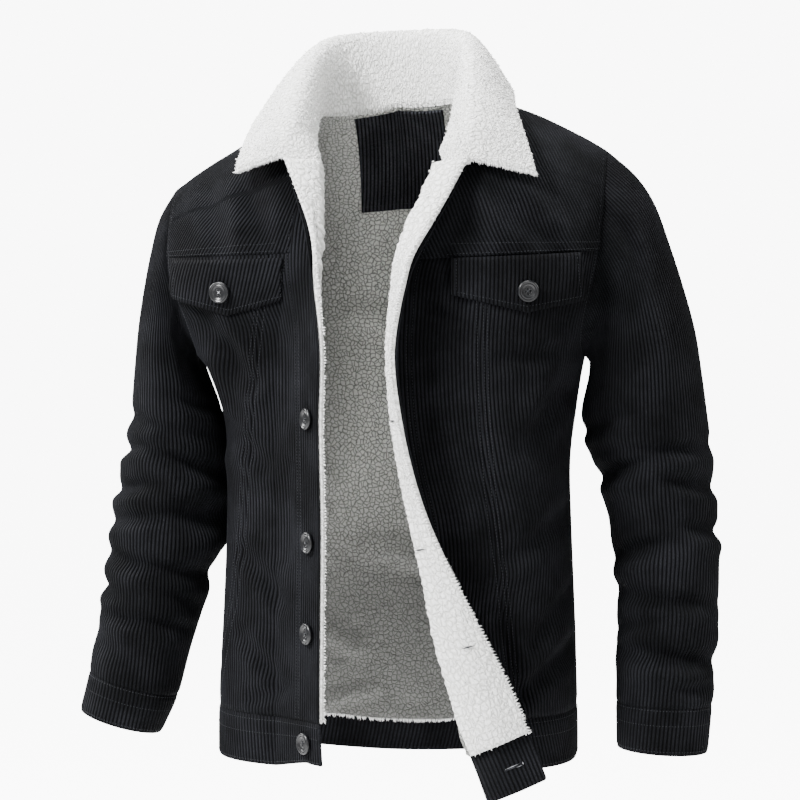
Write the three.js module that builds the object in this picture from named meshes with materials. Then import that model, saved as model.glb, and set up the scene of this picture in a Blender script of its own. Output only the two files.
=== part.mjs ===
// A sherpa lined corduroy jacket, worn open, as hollow cloth walls round nobody.
// Millimetres, +Z up. The origin is the middle of the neck, X points to the wearer's left and
// the front faces -Y. Right and left in all names are the wearer's.
import * as THREE from 'three';

// Thickness of each layer and the gap that parts two pieces
const CORDUROY = 1.8;
const SHERPA = 5.0;
const BAND = 3.4;
const FLAP = 2.4;
const COLLAR = 8.0;
const GAP = 0.3;
const LAYER_GAP = 0.7;
const LINING_DEPTH = CORDUROY + LAYER_GAP;
const FACING_DEPTH = CORDUROY + 1.4;
const PATCH_DEPTH = LINING_DEPTH + SHERPA + 1.3;
const FLAP_REST = 0.8;

// Heights of the seams that run round the body
const ARMPIT = -240;
const SHOULDER_END = -54;
const CREST_Y = 8;
const FRONT_ROLL = 140;
const BACK_ROLL = 120;
const FRONT_SQUARE = 2.8;
const BACK_SQUARE = 2.5;
const NECK_HALF = 80;
const NECK_DEPTH = 62;
const ARMHOLE_INSET = 0.06;
const LEAN = 0.1;
const LEAN_FLOOR = -250;
const BAND_WIDTH = 40;
const NECK_CORNER = -43;

// The rolled edge swells forward between its fold and its edge
const CREST_PART = 0.42;
const CREST_RISE = 0.2;

// One row for each height of the body: half width, depth forward and back, and its middle in X
const BODY = [
  { z: -690, half: 184, front: 124, back: 112, centre: 1 },
  { z: -640, half: 185, front: 125, back: 114, centre: 1 },
  { z: -590, half: 184, front: 127, back: 117, centre: 1 },
  { z: -500, half: 180, front: 129, back: 117, centre: 2 },
  { z: -404, half: 176, front: 130, back: 115, centre: 2 },
  { z: -350, half: 176, front: 131, back: 117, centre: 1 },
  { z: -300, half: 182, front: 131, back: 121, centre: 0 },
  { z: -240, half: 198, front: 131, back: 127, centre: -6 },
  { z: -150, half: 231, front: 128, back: 130, centre: -10 },
  { z: -60, half: 237, front: 124, back: 128, centre: -8 },
  { z: 60, half: 238, front: 122, back: 126, centre: -8 },
];

// Height of the shoulder line at each distance from the middle
const SHOULDER = [
  { out: -40, z: 38 },
  { out: 0, z: 38 },
  { out: 80, z: 18 },
  { out: 140, z: -5 },
  { out: 190, z: -32 },
  { out: 225, z: -54 },
  { out: 270, z: -88 },
];

// The open front edges. Each row of the cloth leaves the body, passes the fold and ends at the edge.
const OPENING = {
  right: [
    { row: -660, reach: 34, fold: [-79, -152, -648], edge: [-59, -172, -648] },
    { row: -600, reach: 34, fold: [-78, -154, -598], edge: [-61, -176, -597] },
    { row: -500, reach: 34, fold: [-77, -156, -500], edge: [-60, -179, -500] },
    { row: -400, reach: 34, fold: [-76, -157, -400], edge: [-59, -181, -400] },
    { row: -300, reach: 34, fold: [-76, -157, -300], edge: [-61, -180, -300] },
    { row: -240, reach: 34, fold: [-74, -161, -240], edge: [-59.5, -180, -240] },
    { row: -208, reach: 34, fold: [-72, -160, -208], edge: [-61.5, -177, -208] },
    { row: -180, reach: 33, fold: [-70, -151, -180], edge: [-67, -163, -180] },
    { row: -150, reach: 32, fold: [-71, -142, -150], edge: [-71.5, -153, -150] },
    { row: -110, reach: 30, fold: [-72, -129, -110], edge: [-79, -142, -109] },
    { row: -75, reach: 28, fold: [-73, -114, -76], edge: [-90, -127, -75] },
    { row: -43, reach: 26, fold: [-75, -98, -46], edge: [-103, -108, -43] },
  ],
  left: [
    { row: -660, reach: 44, fold: [109, -126, -686], edge: [165, -130, -662] },
    { row: -600, reach: 44, fold: [89, -130, -631], edge: [144, -137, -607] },
    { row: -550, reach: 44, fold: [75, -135, -574], edge: [124, -143, -557] },
    { row: -500, reach: 44, fold: [59, -140, -516], edge: [99, -151, -505] },
    { row: -450, reach: 44, fold: [45, -144, -460], edge: [74, -157, -452] },
    { row: -400, reach: 44, fold: [32, -147, -404], edge: [52, -162, -400] },
    { row: -350, reach: 44, fold: [21, -148, -352], edge: [37, -170, -350] },
    { row: -300, reach: 44, fold: [13, -148, -301], edge: [26, -172, -300] },
    { row: -240, reach: 44, fold: [8.5, -146, -240], edge: [18, -170, -240] },
    { row: -200, reach: 42, fold: [10.5, -143, -200], edge: [21, -167, -200] },
    { row: -150, reach: 38, fold: [20, -135, -150], edge: [32, -158, -150] },
    { row: -110, reach: 32, fold: [33, -127, -108], edge: [51, -142, -109] },
    { row: -75, reach: 26, fold: [47, -117, -75], edge: [68, -130, -76] },
    { row: -43, reach: 20, fold: [57, -103, -47], edge: [82, -112, -45] },
  ],
};

// Each side: its sign in X, its yoke seam, and the seam that joins front and waistband
const SIDES = {
  right: { sign: -1, yoke: -129, waist: -600, hem: -650 },
  left: { sign: 1, yoke: -140, waist: -600, hem: -652 },
};
const BACK_YOKE = -134;
const BACK_WAIST = -628;
const BACK_HEM = -671;

// Sleeve rings after the armhole: outer and inner point in X and Z, middle and half depth in Y
const SLEEVE = {
  right: [
    { outer: [-246, -100], inner: [-207, -244], y: 4, depth: 66 },
    { outer: [-255, -132], inner: [-208, -249], y: 6, depth: 69 },
    { outer: [-263, -170], inner: [-206, -256], y: 9, depth: 73 },
    { outer: [-270, -212], inner: [-202, -266], y: 12, depth: 76 },
    { outer: [-275, -255], inner: [-196, -284], y: 15, depth: 76 },
    { outer: [-280, -300], inner: [-189, -314], y: 18, depth: 74 },
    { outer: [-287, -340], inner: [-182, -354], y: 20, depth: 69 },
    { outer: [-295, -374], inner: [-179, -394], y: 21, depth: 65 },
    { outer: [-301, -407], inner: [-182, -433], y: 20, depth: 61 },
    { outer: [-306, -445], inner: [-194, -473], y: 16, depth: 57 },
    { outer: [-310, -485], inner: [-207, -513], y: 11, depth: 53 },
    { outer: [-315, -522], inner: [-219, -549], y: 5, depth: 50 },
    { outer: [-323, -572], inner: [-231, -597], y: -2, depth: 46 },
    { outer: [-332, -612], inner: [-248, -636], y: -7, depth: 44 },
  ],
  left: [
    { outer: [243, -58], inner: [195, -244], y: 4, depth: 66 },
    { outer: [262, -86], inner: [197, -248], y: 6, depth: 70 },
    { outer: [277, -126], inner: [197, -254], y: 9, depth: 74 },
    { outer: [292, -172], inner: [196, -263], y: 12, depth: 76 },
    { outer: [304, -216], inner: [194, -277], y: 15, depth: 76 },
    { outer: [311, -259], inner: [193, -298], y: 18, depth: 74 },
    { outer: [317, -303], inner: [195, -326], y: 20, depth: 70 },
    { outer: [322, -339], inner: [200, -353], y: 22, depth: 66 },
    { outer: [324, -376], inner: [208, -384], y: 22, depth: 62 },
    { outer: [329, -413], inner: [217, -416], y: 20, depth: 59 },
    { outer: [330, -450], inner: [220, -450], y: 17, depth: 56 },
    { outer: [330, -488], inner: [227, -486], y: 12, depth: 53 },
    { outer: [330, -525], inner: [225, -522], y: 6, depth: 51 },
    { outer: [326, -562], inner: [226, -558], y: 0, depth: 49 },
    { outer: [324, -598], inner: [226, -595], y: -5, depth: 47 },
    { outer: [320, -646], inner: [227, -641], y: -9, depth: 46 },
  ],
};
const CUFF_RINGS = 1;

// Turns a computed normal outwards on each side
const FLIP = { right: -1, left: 1 };

// Creases that bend the sleeve walls. at: ring number, round: degrees from the outer side towards
// the front, rise: rings climbed on the way round, half sizes along and round, and depth inwards.
const CREASES = {
  right: [
    { at: 6.2, round: 150, rise: 0.4, along: 0.42, about: 75, depth: 6 },
    { at: 7.0, round: 60, rise: -0.3, along: 0.36, about: 60, depth: -3 },
    { at: 7.6, round: 120, rise: 0.5, along: 0.4, about: 80, depth: 6 },
    { at: 8.5, round: 150, rise: -0.5, along: 0.5, about: 70, depth: 9 },
    { at: 9.4, round: 60, rise: 0.3, along: 0.3, about: 80, depth: 3.5 },
    { at: 10.5, round: 100, rise: -0.2, along: 0.35, about: 70, depth: 4 },
    { at: 11.2, round: 20, rise: 0.3, along: 0.3, about: 60, depth: 3 },
    { at: 7.8, round: 290, rise: 0.4, along: 0.4, about: 60, depth: 5 },
    { at: 9.3, round: 260, rise: -0.3, along: 0.4, about: 50, depth: 4 },
  ],
  left: [
    { at: 6.6, round: 150, rise: 0.5, along: 0.4, about: 70, depth: 5 },
    { at: 7.6, round: 110, rise: 0.6, along: 0.4, about: 85, depth: 6 },
    { at: 8.6, round: 70, rise: -0.5, along: 0.36, about: 70, depth: 4 },
    { at: 10.3, round: 95, rise: 0.6, along: 0.5, about: 85, depth: 8 },
    { at: 11.6, round: 150, rise: -0.3, along: 0.4, about: 60, depth: 5 },
    { at: 13.2, round: 80, rise: 0.3, along: 0.35, about: 70, depth: 3.5 },
    { at: 8.4, round: 290, rise: 0.4, along: 0.4, about: 60, depth: 5 },
    { at: 10.6, round: 260, rise: -0.4, along: 0.4, about: 50, depth: 4 },
  ],
};

// Collar stations from the right front corner round the back to the left one
const COLLAR_STATIONS = [
  { roll: [-101, -110, -39], edge: [-152, -107, -54] },
  { roll: [-97, -92, -3], edge: [-150, -80, -38] },
  { roll: [-93, -42, 38], edge: [-147, -34, -16] },
  { roll: [-86, 12, 66], edge: [-145, 16, -6] },
  { roll: [-68, 56, 84], edge: [-116, 76, 0] },
  { roll: [-9, 80, 90], edge: [-9, 108, 8] },
  { roll: [50, 56, 90], edge: [96, 76, 18] },
  { roll: [71, 12, 79], edge: [114, 16, 26] },
  { roll: [79, -42, 46], edge: [122, -36, 9] },
  { roll: [83, -94, 2], edge: [137, -81, -25] },
  { roll: [84, -115, -43], edge: [149, -105, -56] },
];

// Pocket flaps: ends in X at the top, how far each end slants on the way down, where the point is on
// the top line, heights of the top, of both lower corners and of the point, and the lift
const FLAPS = {
  right: {
    inner: -73, outer: -220, slant: [-19, -4], point: -147.5,
    top: -134, sides: [-176, -175], tip: -195, lift: 12,
  },
  left: {
    inner: 66, outer: 191, slant: [0, 5], point: 137,
    top: -141, sides: [-176, -184], tip: -194, lift: 3,
  },
};

// Buttons: radius, thickness, distance of the band buttons from the edge, and their heights
const BUTTON = { radius: 10.8, rim: 1.2, thick: 4.2, inset: 19, rest: 1 };
const BUTTON_HEIGHTS = [-296, -418, -509];
const FLAP_BUTTONS = { right: [-159, -171], left: [138, -174] };
const BAND_BUTTON_ROW = 0.5;

// Neck patch on the back's own columns and rows, counted from its first column and its yoke line
const PATCH = {
  columns: [6.45, 6.65, 7, 8, 9, 9.4, 9.65, 9.85],
  rows: [1.39, 1.55, 2, 3, 4, 5, 6, 6.9],
  corner: 0.5,
  cornerRise: 0.4,
};

const corduroy = new THREE.MeshStandardMaterial({ color: 0x17181c, roughness: 0.92 });
const sherpa = new THREE.MeshStandardMaterial({ color: 0xeeeae2, roughness: 1.0 });
const plastic = new THREE.MeshStandardMaterial({ color: 0x1b1c20, roughness: 0.35 });

const group = new THREE.Group();

const mix = (a, b, t) => a + (b - a) * t;
const clamp = (value, low, high) => Math.min(high, Math.max(low, value));
const radians = THREE.MathUtils.degToRad;

// Smooth value of a column of a table at a key: cubic Hermite with slopes from both neighbours
function column(table, key, at, read) {
  const last = table.length - 1;
  let i = 0;
  while (i < last - 1 && at > table[i + 1][key]) {
    i += 1;
  }
  const slope = (k) => {
    const a = table[Math.max(0, k - 1)];
    const b = table[Math.min(last, k + 1)];
    return (read(b) - read(a)) / (b[key] - a[key]);
  };
  const step = table[i + 1][key] - table[i][key];
  const t = clamp((at - table[i][key]) / step, 0, 1);
  const t2 = t * t;
  const t3 = t2 * t;
  return (2 * t3 - 3 * t2 + 1) * read(table[i]) + (t3 - 2 * t2 + t) * step * slope(i)
    + (3 * t2 - 2 * t3) * read(table[i + 1]) + (t3 - t2) * step * slope(i + 1);
}

// Point on a Catmull-Rom curve through a list of points, at a fractional index
function through(points, at) {
  const last = points.length - 1;
  const i = Math.min(last - 1, Math.max(0, Math.floor(at)));
  const t = at - i;
  const p1 = points[i];
  const p2 = points[i + 1];
  const p0 = i > 0 ? points[i - 1] : p1.clone().multiplyScalar(2).sub(p2);
  const p3 = i + 2 <= last ? points[i + 2] : p2.clone().multiplyScalar(2).sub(p1);
  const t2 = t * t;
  const t3 = t2 * t;
  return new THREE.Vector3()
    .addScaledVector(p0, -0.5 * t3 + t2 - 0.5 * t)
    .addScaledVector(p1, 1.5 * t3 - 2.5 * t2 + 1)
    .addScaledVector(p2, -1.5 * t3 + 2 * t2 + 0.5 * t)
    .addScaledVector(p3, 0.5 * t3 - 0.5 * t2);
}

function body(z, name) {
  return column(BODY, 'z', z, (row) => row[name]);
}

function shoulderLine(x) {
  const out = Math.abs(x - body(SHOULDER_END, 'centre'));
  return column(SHOULDER, 'out', out, (row) => row.z);
}

// The worn body leans: its shoulders rise towards the wearer's left
function leaned(x, y, z) {
  const ramp = THREE.MathUtils.smoothstep(z, LEAN_FLOOR, 0);
  return new THREE.Vector3(x, y, z + x * LEAN * ramp);
}

// Depth of the cloth at a place: a superellipse in plan that rolls over the shoulder as a quarter arc
function depthAt(x, z, front) {
  const square = front ? FRONT_SQUARE : BACK_SQUARE;
  const reach = clamp(Math.abs((x - body(z, 'centre')) / body(z, 'half')), 0, 1);
  const full = Math.pow(1 - Math.pow(reach, square), 1 / square);
  const plan = front ? -body(z, 'front') * full : body(z, 'back') * full;
  const drop = clamp((shoulderLine(x) - z) / (front ? FRONT_ROLL : BACK_ROLL), 0, 1);
  const roll = Math.sqrt(1 - (1 - drop) * (1 - drop));
  return mix(CREST_Y, plan, roll);
}

// Height of the top edge of the back: the shoulder line, and the round neckline between
function backTop(x) {
  const out = Math.abs(x - body(SHOULDER_END, 'centre'));
  const crest = shoulderLine(x);
  if (out >= NECK_HALF) {
    return crest;
  }
  const deep = NECK_DEPTH * Math.sqrt(1 - (out / NECK_HALF) ** 2);
  const part = deep / (body(crest, 'back') - CREST_Y);
  return crest - BACK_ROLL * (1 - Math.sqrt(1 - part * part));
}

// Height of a row: -1 hem, 0 waist seam, 1 armpit, 2 yoke seam, 3 shoulder line or back neck
function rowHeight(x, row, side, front) {
  const seams = front ? SIDES[side] : { yoke: BACK_YOKE, waist: BACK_WAIST, hem: BACK_HEM };
  if (!front) {
    const toSide = Math.min(1, Math.abs(x) / 180) ** 2;
    const near = x < 0 ? SIDES.right : SIDES.left;
    seams.waist = mix(BACK_WAIST, near.waist, toSide);
    seams.hem = mix(BACK_HEM, near.hem, toSide);
    seams.yoke = mix(BACK_YOKE, near.yoke, toSide);
  }
  if (row <= 0) {
    return mix(seams.hem, seams.waist, row + 1);
  }
  if (row <= 1) {
    return mix(seams.waist, ARMPIT, row);
  }
  if (row <= 2) {
    return mix(ARMPIT, seams.yoke, row - 1);
  }
  return mix(seams.yoke, front ? shoulderLine(x) : backTop(x), row - 2);
}

// Where the armhole crosses a row, as X
function armholeX(row, side, front) {
  const { sign } = SIDES[side];
  let x = sign * 220;
  for (let i = 0; i < 8; i += 1) {
    const z = rowHeight(x, row, side, front);
    const up = clamp((z - ARMPIT) / (SHOULDER_END - ARMPIT), 0, 1);
    const inset = ARMHOLE_INSET * (1 - (1 - up) ** 6);
    x = body(z, 'centre') + sign * body(z, 'half') * (1 - inset);
  }
  return x;
}

function sideX(row, side, front) {
  if (row > 1) {
    return armholeX(row, side, front);
  }
  let x = SIDES[side].sign * 180;
  for (let i = 0; i < 4; i += 1) {
    const z = rowHeight(x, row, side, front);
    x = body(z, 'centre') + SIDES[side].sign * body(z, 'half');
  }
  return x;
}

const rowCache = new Map();

// One row of a front, as closely spaced points from the side to the edge, with its running length
function frontRow(row, side) {
  const name = `${side} ${row.toFixed(9)}`;
  if (rowCache.has(name)) {
    return rowCache.get(name);
  }
  const { sign } = SIDES[side];
  const table = OPENING[side];
  const level = rowHeight(sign * 60, row, side, true);
  const open = level <= NECK_CORNER + 0.01;
  const key = Math.min(level, NECK_CORNER);
  const read = (part, axis) => column(table, 'row', key, (line) => line[part][axis]);
  const fold = new THREE.Vector3(read('fold', 0), read('fold', 1), read('fold', 2));
  const edge = new THREE.Vector3(read('edge', 0), read('edge', 1), read('edge', 2));
  let endX = fold.x + sign * column(table, 'row', key, (line) => line.reach);
  if (!open) {
    const corner = frontRow(cornerRow(side), side);
    const start = pointAlong(corner, corner.length - BAND_WIDTH).x;
    const neck = body(SHOULDER_END, 'centre') + sign * NECK_HALF;
    const top = rowHeight(sign * 60, 3, side, true);
    endX = mix(start, neck, (level - NECK_CORNER) / (top - NECK_CORNER));
  }
  const points = [];
  const startX = sideX(row, side, true);
  const zStart = rowHeight(startX, row, side, true);
  const from = clamp((startX - body(zStart, 'centre')) / (sign * body(zStart, 'half')), -1, 1);
  const zEnd = rowHeight(endX, row, side, true);
  const to = (endX - body(zEnd, 'centre')) / (sign * body(zEnd, 'half'));
  const samples = 48;
  for (let i = 0; i <= samples; i += 1) {
    const reach = Math.cos(mix(Math.acos(from), Math.acos(to), i / samples));
    let x = startX;
    let z = zStart;
    for (let k = 0; k < 3; k += 1) {
      x = body(z, 'centre') + sign * body(z, 'half') * reach;
      z = rowHeight(x, row, side, true);
    }
    points.push(leaned(x, depthAt(x, z, true), z));
  }
  if (open) {
    const before = points[points.length - 4];
    const leave = points[points.length - 1];
    const crest = fold.clone().lerp(edge, CREST_PART);
    crest.y -= CREST_RISE * Math.max(0, sign * (edge.x - fold.x));
    const course = [before, leave, fold, crest, edge];
    for (let i = 1; i <= 48; i += 1) {
      points.push(through(course, 1 + i / 16));
    }
  }
  const lengths = [0];
  for (let i = 1; i < points.length; i += 1) {
    lengths.push(lengths[i - 1] + points[i].distanceTo(points[i - 1]));
  }
  const result = { points, lengths, length: lengths[lengths.length - 1] };
  rowCache.set(name, result);
  return result;
}

// The row that ends at the neck corner
function cornerRow(side) {
  const top = rowHeight(SIDES[side].sign * 60, 3, side, true);
  return 2 + (NECK_CORNER - SIDES[side].yoke) / (top - SIDES[side].yoke);
}

function pointAlong(path, distance) {
  const { points, lengths } = path;
  let i = 0;
  while (i < lengths.length - 2 && lengths[i + 1] < distance) {
    i += 1;
  }
  const t = (distance - lengths[i]) / (lengths[i + 1] - lengths[i]);
  return points[i].clone().lerp(points[i + 1], t);
}

// Length of a row up to the band seam, which ends at the neckline above the corner
function seamLength(row, side) {
  const path = frontRow(row, side);
  return row <= cornerRow(side) + 1e-6 ? path.length - BAND_WIDTH : path.length;
}

function frontPoint(side) {
  return (distance, row) => pointAlong(frontRow(row, side), distance);
}

// The same point by its distance from the opening's edge
function fromEdgePoint(side) {
  return (back, row) => pointAlong(frontRow(row, side), frontRow(row, side).length - back);
}

// The back at a fraction from the wearer's right side to the left one
function backPoint(across, row) {
  const right = sideX(row, 'right', false);
  const left = sideX(row, 'left', false);
  const zRight = rowHeight(right, row, 'right', false);
  const zLeft = rowHeight(left, row, 'left', false);
  const from = Math.acos(clamp((right - body(zRight, 'centre')) / body(zRight, 'half'), -1, 1));
  const to = Math.acos(clamp((left - body(zLeft, 'centre')) / body(zLeft, 'half'), -1, 1));
  const reach = Math.cos(mix(from, to, across));
  let z = mix(zRight, zLeft, across);
  let x = 0;
  for (let k = 0; k < 5; k += 1) {
    x = body(z, 'centre') + body(z, 'half') * reach;
    z = rowHeight(x, row, 'left', false);
  }
  return leaned(x, depthAt(x, z, false), z);
}

// Outward unit normal of a surface given as a function of two numbers
function normalOf(surface, a, b, stepA, stepB, flip) {
  const da = surface(a + stepA, b).sub(surface(a - stepA, b));
  const db = surface(a, b + stepB).sub(surface(a, b - stepB));
  return da.cross(db).normalize().multiplyScalar(flip);
}

// Row and step at which a normal is taken: the cloth stands straight up at the shoulder line
function normalRow(row, highest) {
  const near = row > 2.9 && highest > 2.9;
  if (near) {
    return { level: Math.min(row, 3 - 2e-6), step: 1e-6 };
  }
  return { level: clamp(row, -0.98, highest), step: 0.02 };
}

// The armhole at an angle from the shoulder (0) through the front (90) and armpit (180) to the back
function armholeRow(angle, side) {
  const up = (1 + Math.cos(radians(angle))) / 2;
  const z = mix(ARMPIT, SHOULDER_END, up);
  const { yoke } = SIDES[side];
  return z < yoke ? 1 + (z - ARMPIT) / (yoke - ARMPIT) : 2 + (z - yoke) / (SHOULDER_END - yoke);
}

function armholePoint(angle, side) {
  const front = angle <= 180;
  const row = armholeRow(angle, side);
  const x = armholeX(row, side, front);
  const z = rowHeight(x, row, side, front);
  return leaned(x, depthAt(x, z, front), z);
}

// Sleeve rings as ellipses in the plane of their outer and inner points
function ringPoint(ring, angle) {
  const a = radians(angle);
  const x = (ring.outer[0] + ring.inner[0]) / 2 + ((ring.outer[0] - ring.inner[0]) / 2) * Math.cos(a);
  const z = (ring.outer[1] + ring.inner[1]) / 2 + ((ring.outer[1] - ring.inner[1]) / 2) * Math.cos(a);
  return new THREE.Vector3(x, ring.y - ring.depth * Math.sin(a), z);
}

function plainSleeve(side) {
  return (angle, ring) => {
    const turn = ((angle % 360) + 360) % 360;
    const points = [armholePoint(turn, side), ...SLEEVE[side].map((line) => ringPoint(line, turn))];
    return through(points, clamp(ring, 0, points.length - 1));
  };
}

// How far the creases push the sleeve inwards at a place
function creaseDepth(side, angle, ring) {
  let depth = 0;
  for (const crease of CREASES[side]) {
    const away = ((angle - crease.round + 540) % 360) - 180;
    const across = (ring - crease.at - (crease.rise * away) / 90) / crease.along;
    depth += crease.depth * Math.exp(-across * across) * Math.exp(-((away / crease.about) ** 2));
  }
  return depth;
}

function sleevePoint(side) {
  const plain = plainSleeve(side);
  return (angle, ring) => {
    const normal = normalOf(plain, angle, clamp(ring, 0.02, SLEEVE[side].length - 0.02), 1, 0.02, FLIP[side]);
    return plain(angle, ring).addScaledVector(normal, -creaseDepth(side, angle, ring));
  };
}

// Direction in which both walls end at the armhole, so that their rims lie side by side
function armholeMitre(angle, side) {
  const sleeve = normalOf(plainSleeve(side), angle, 0.12, 1, 0.04, FLIP[side]);
  const front = angle <= 180;
  const { level, step } = normalRow(Math.max(1, armholeRow(angle, side)), 2.97);
  let torso;
  if (front) {
    torso = normalOf(frontPoint(side), 2, level, 1, step, -SIDES[side].sign);
  } else {
    const across = side === 'right' ? 0.006 : 0.994;
    torso = normalOf(backPoint, across, level, 0.004, step, -1);
  }
  return sleeve.add(torso).normalize();
}

// A closed wall between a grid of outer points and one of inner points. Rows of each grid run
// along the first direction. A ring closes on itself along that direction.
function wall(outer, inner, ring) {
  const rows = outer.length;
  const count = outer[0].length;
  const positions = [];
  for (const grid of [outer, inner]) {
    for (const line of grid) {
      for (const p of line) {
        positions.push(p.x, p.y, p.z);
      }
    }
  }
  const inside = rows * count;
  const at = (r, c) => r * count + (c % count);
  const faces = [];
  const quad = (a, b, c, d) => faces.push(a, b, c, a, c, d);
  const columns = ring ? count : count - 1;
  for (let r = 0; r < rows - 1; r += 1) {
    for (let c = 0; c < columns; c += 1) {
      quad(at(r, c), at(r, c + 1), at(r + 1, c + 1), at(r + 1, c));
      quad(inside + at(r, c), inside + at(r + 1, c), inside + at(r + 1, c + 1), inside + at(r, c + 1));
    }
  }
  for (let c = 0; c < columns; c += 1) {
    quad(at(0, c), inside + at(0, c), inside + at(0, c + 1), at(0, c + 1));
    const top = rows - 1;
    quad(at(top, c), at(top, c + 1), inside + at(top, c + 1), inside + at(top, c));
  }
  if (!ring) {
    for (let r = 0; r < rows - 1; r += 1) {
      quad(at(r, 0), at(r + 1, 0), inside + at(r + 1, 0), inside + at(r, 0));
      const end = count - 1;
      quad(at(r, end), inside + at(r, end), inside + at(r + 1, end), at(r + 1, end));
    }
  }
  const geometry = new THREE.BufferGeometry();
  geometry.setAttribute('position', new THREE.Float32BufferAttribute(positions, 3));
  geometry.setIndex(signedVolume(positions, faces) < 0 ? turned(faces) : faces);
  geometry.computeVertexNormals();
  return geometry;
}

function signedVolume(positions, faces) {
  let total = 0;
  const read = (i) => new THREE.Vector3(positions[3 * i], positions[3 * i + 1], positions[3 * i + 2]);
  for (let i = 0; i < faces.length; i += 3) {
    total += read(faces[i]).dot(read(faces[i + 1]).cross(read(faces[i + 2])));
  }
  return total;
}

function turned(faces) {
  const result = [];
  for (let i = 0; i < faces.length; i += 3) {
    result.push(faces[i], faces[i + 2], faces[i + 1]);
  }
  return result;
}

// Wall from a grid of {point, normal}: outer face moved out by lift, inner face one thickness below
function shell(cells, lift, thickness, ring) {
  const moved = (distance) => cells.map((line) => line.map(
    ({ point, normal, edgeNormal }) => point.clone().addScaledVector(edgeNormal ?? normal, distance),
  ));
  return wall(moved(lift), moved(lift - thickness), ring);
}

function add(name, geometry, material) {
  const mesh = new THREE.Mesh(geometry, material);
  mesh.name = name;
  group.add(mesh);
}

// Even rows from one seam to another
function spread(from, to, count) {
  const rows = [];
  for (let i = 0; i <= count; i += 1) {
    rows.push(mix(from, to, i / count));
  }
  return rows;
}

// Rows on each side of a seam stay half a gap from it. The step is in rows.
const SEAM_STEP = 0.0014;
const HEM_STEP = 0.0005;
const CREST_STEP = 1e-6;
const LOWER_ROWS = spread(0, 1, 9);
const ARMHOLE_ROWS = [1.03, 1.12, 1.3, 1.6];

// Rows from the yoke seam to the shoulder line. The row of the neck corner is one of them.
const TWIST_ROWS = [2, 2.2, 2.38];
const CREST_ROWS = [2.8, 2.95, 2.99, 3];

function upperRows(corner) {
  return [...TWIST_ROWS, mix(TWIST_ROWS.at(-1), corner, 0.55), corner, ...CREST_ROWS];
}

function trimmed(rows, startStep, endStep) {
  const result = rows.slice();
  result[0] += startStep;
  result[result.length - 1] -= endStep;
  return result;
}

// The sleeve's angle where the armhole crosses a row of the front
function armholeAngle(row, side) {
  const { yoke } = SIDES[side];
  const z = row < 2 ? mix(ARMPIT, yoke, row - 1) : mix(yoke, SHOULDER_END, row - 2);
  const up = clamp((z - ARMPIT) / (SHOULDER_END - ARMPIT), 0, 1);
  return THREE.MathUtils.radToDeg(Math.acos(2 * up - 1));
}

const BACK_CORNER = 2.58;

// Cells of a front between two distances along each row. The first cell ends at the armhole.
function frontCells(side, rows, from, to, count) {
  const surface = frontPoint(side);
  const fromEdge = fromEdgePoint(side);
  const corner = cornerRow(side);
  return rows.map((row) => {
    const start = from(row);
    const end = to(row);
    const onBand = end > seamLength(row, side) + 1;
    return spread(0, 1, count).map((part, i) => {
      const distance = mix(start, end, onBand ? part : part ** NEAR_SEAM);
      const seam = seamLength(row, side);
      const atSeam = Math.abs(distance - seam) < 1;
      const below = onBand || (atSeam && row < corner + 0.001);
      const { level, step } = normalRow(row, below ? corner - 0.021 : 2.97);
      const back = frontRow(row, side).length - (atSeam ? seam : distance);
      const place = clamp(back, 1.5, frontRow(level, side).length - 1.5);
      const normal = normalOf(fromEdge, place, level, 1.5, step, SIDES[side].sign);
      const cell = { point: surface(distance, row), normal };
      if (!onBand && i === 0 && row > 1.01) {
        cell.edgeNormal = armholeMitre(armholeAngle(row, side), side);
      }
      return cell;
    });
  });
}

// A layer inside a panel, made from the panel's points, with each row's two ends drawn back by
// parts of a column
function layer(cells, firstParts, lastParts) {
  return cells.map((line, r) => {
    const result = line.map(({ point, normal }) => ({ point, normal }));
    const end = line.length - 1;
    result[0] = between(line[0], line[1], firstParts[r]);
    result[end] = between(line[end], line[end - 1], lastParts[r]);
    return result;
  });
}

// How far a lining is drawn back from the armhole on each row
function fromArmhole(rows) {
  return rows.map((row) => (row > 0.9 ? LINING_INSET : 0));
}

function between(a, b, t) {
  return { point: a.point.clone().lerp(b.point, t), normal: a.normal.clone().lerp(b.normal, t).normalize() };
}

const HALF = GAP / 2;
const PANEL_COLUMNS = 9;
const BAND_COLUMNS = 7;
const BACK_COLUMNS = 16;
const LINING_INSET = 1;
const LINING_SEAM = 0.03;
const FACING_ROW = 1.9;
const FACING_SEAM = 0.1;
const FACING_DEEPER = 3.4;
const NEAR_SEAM = 0.8;

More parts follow.
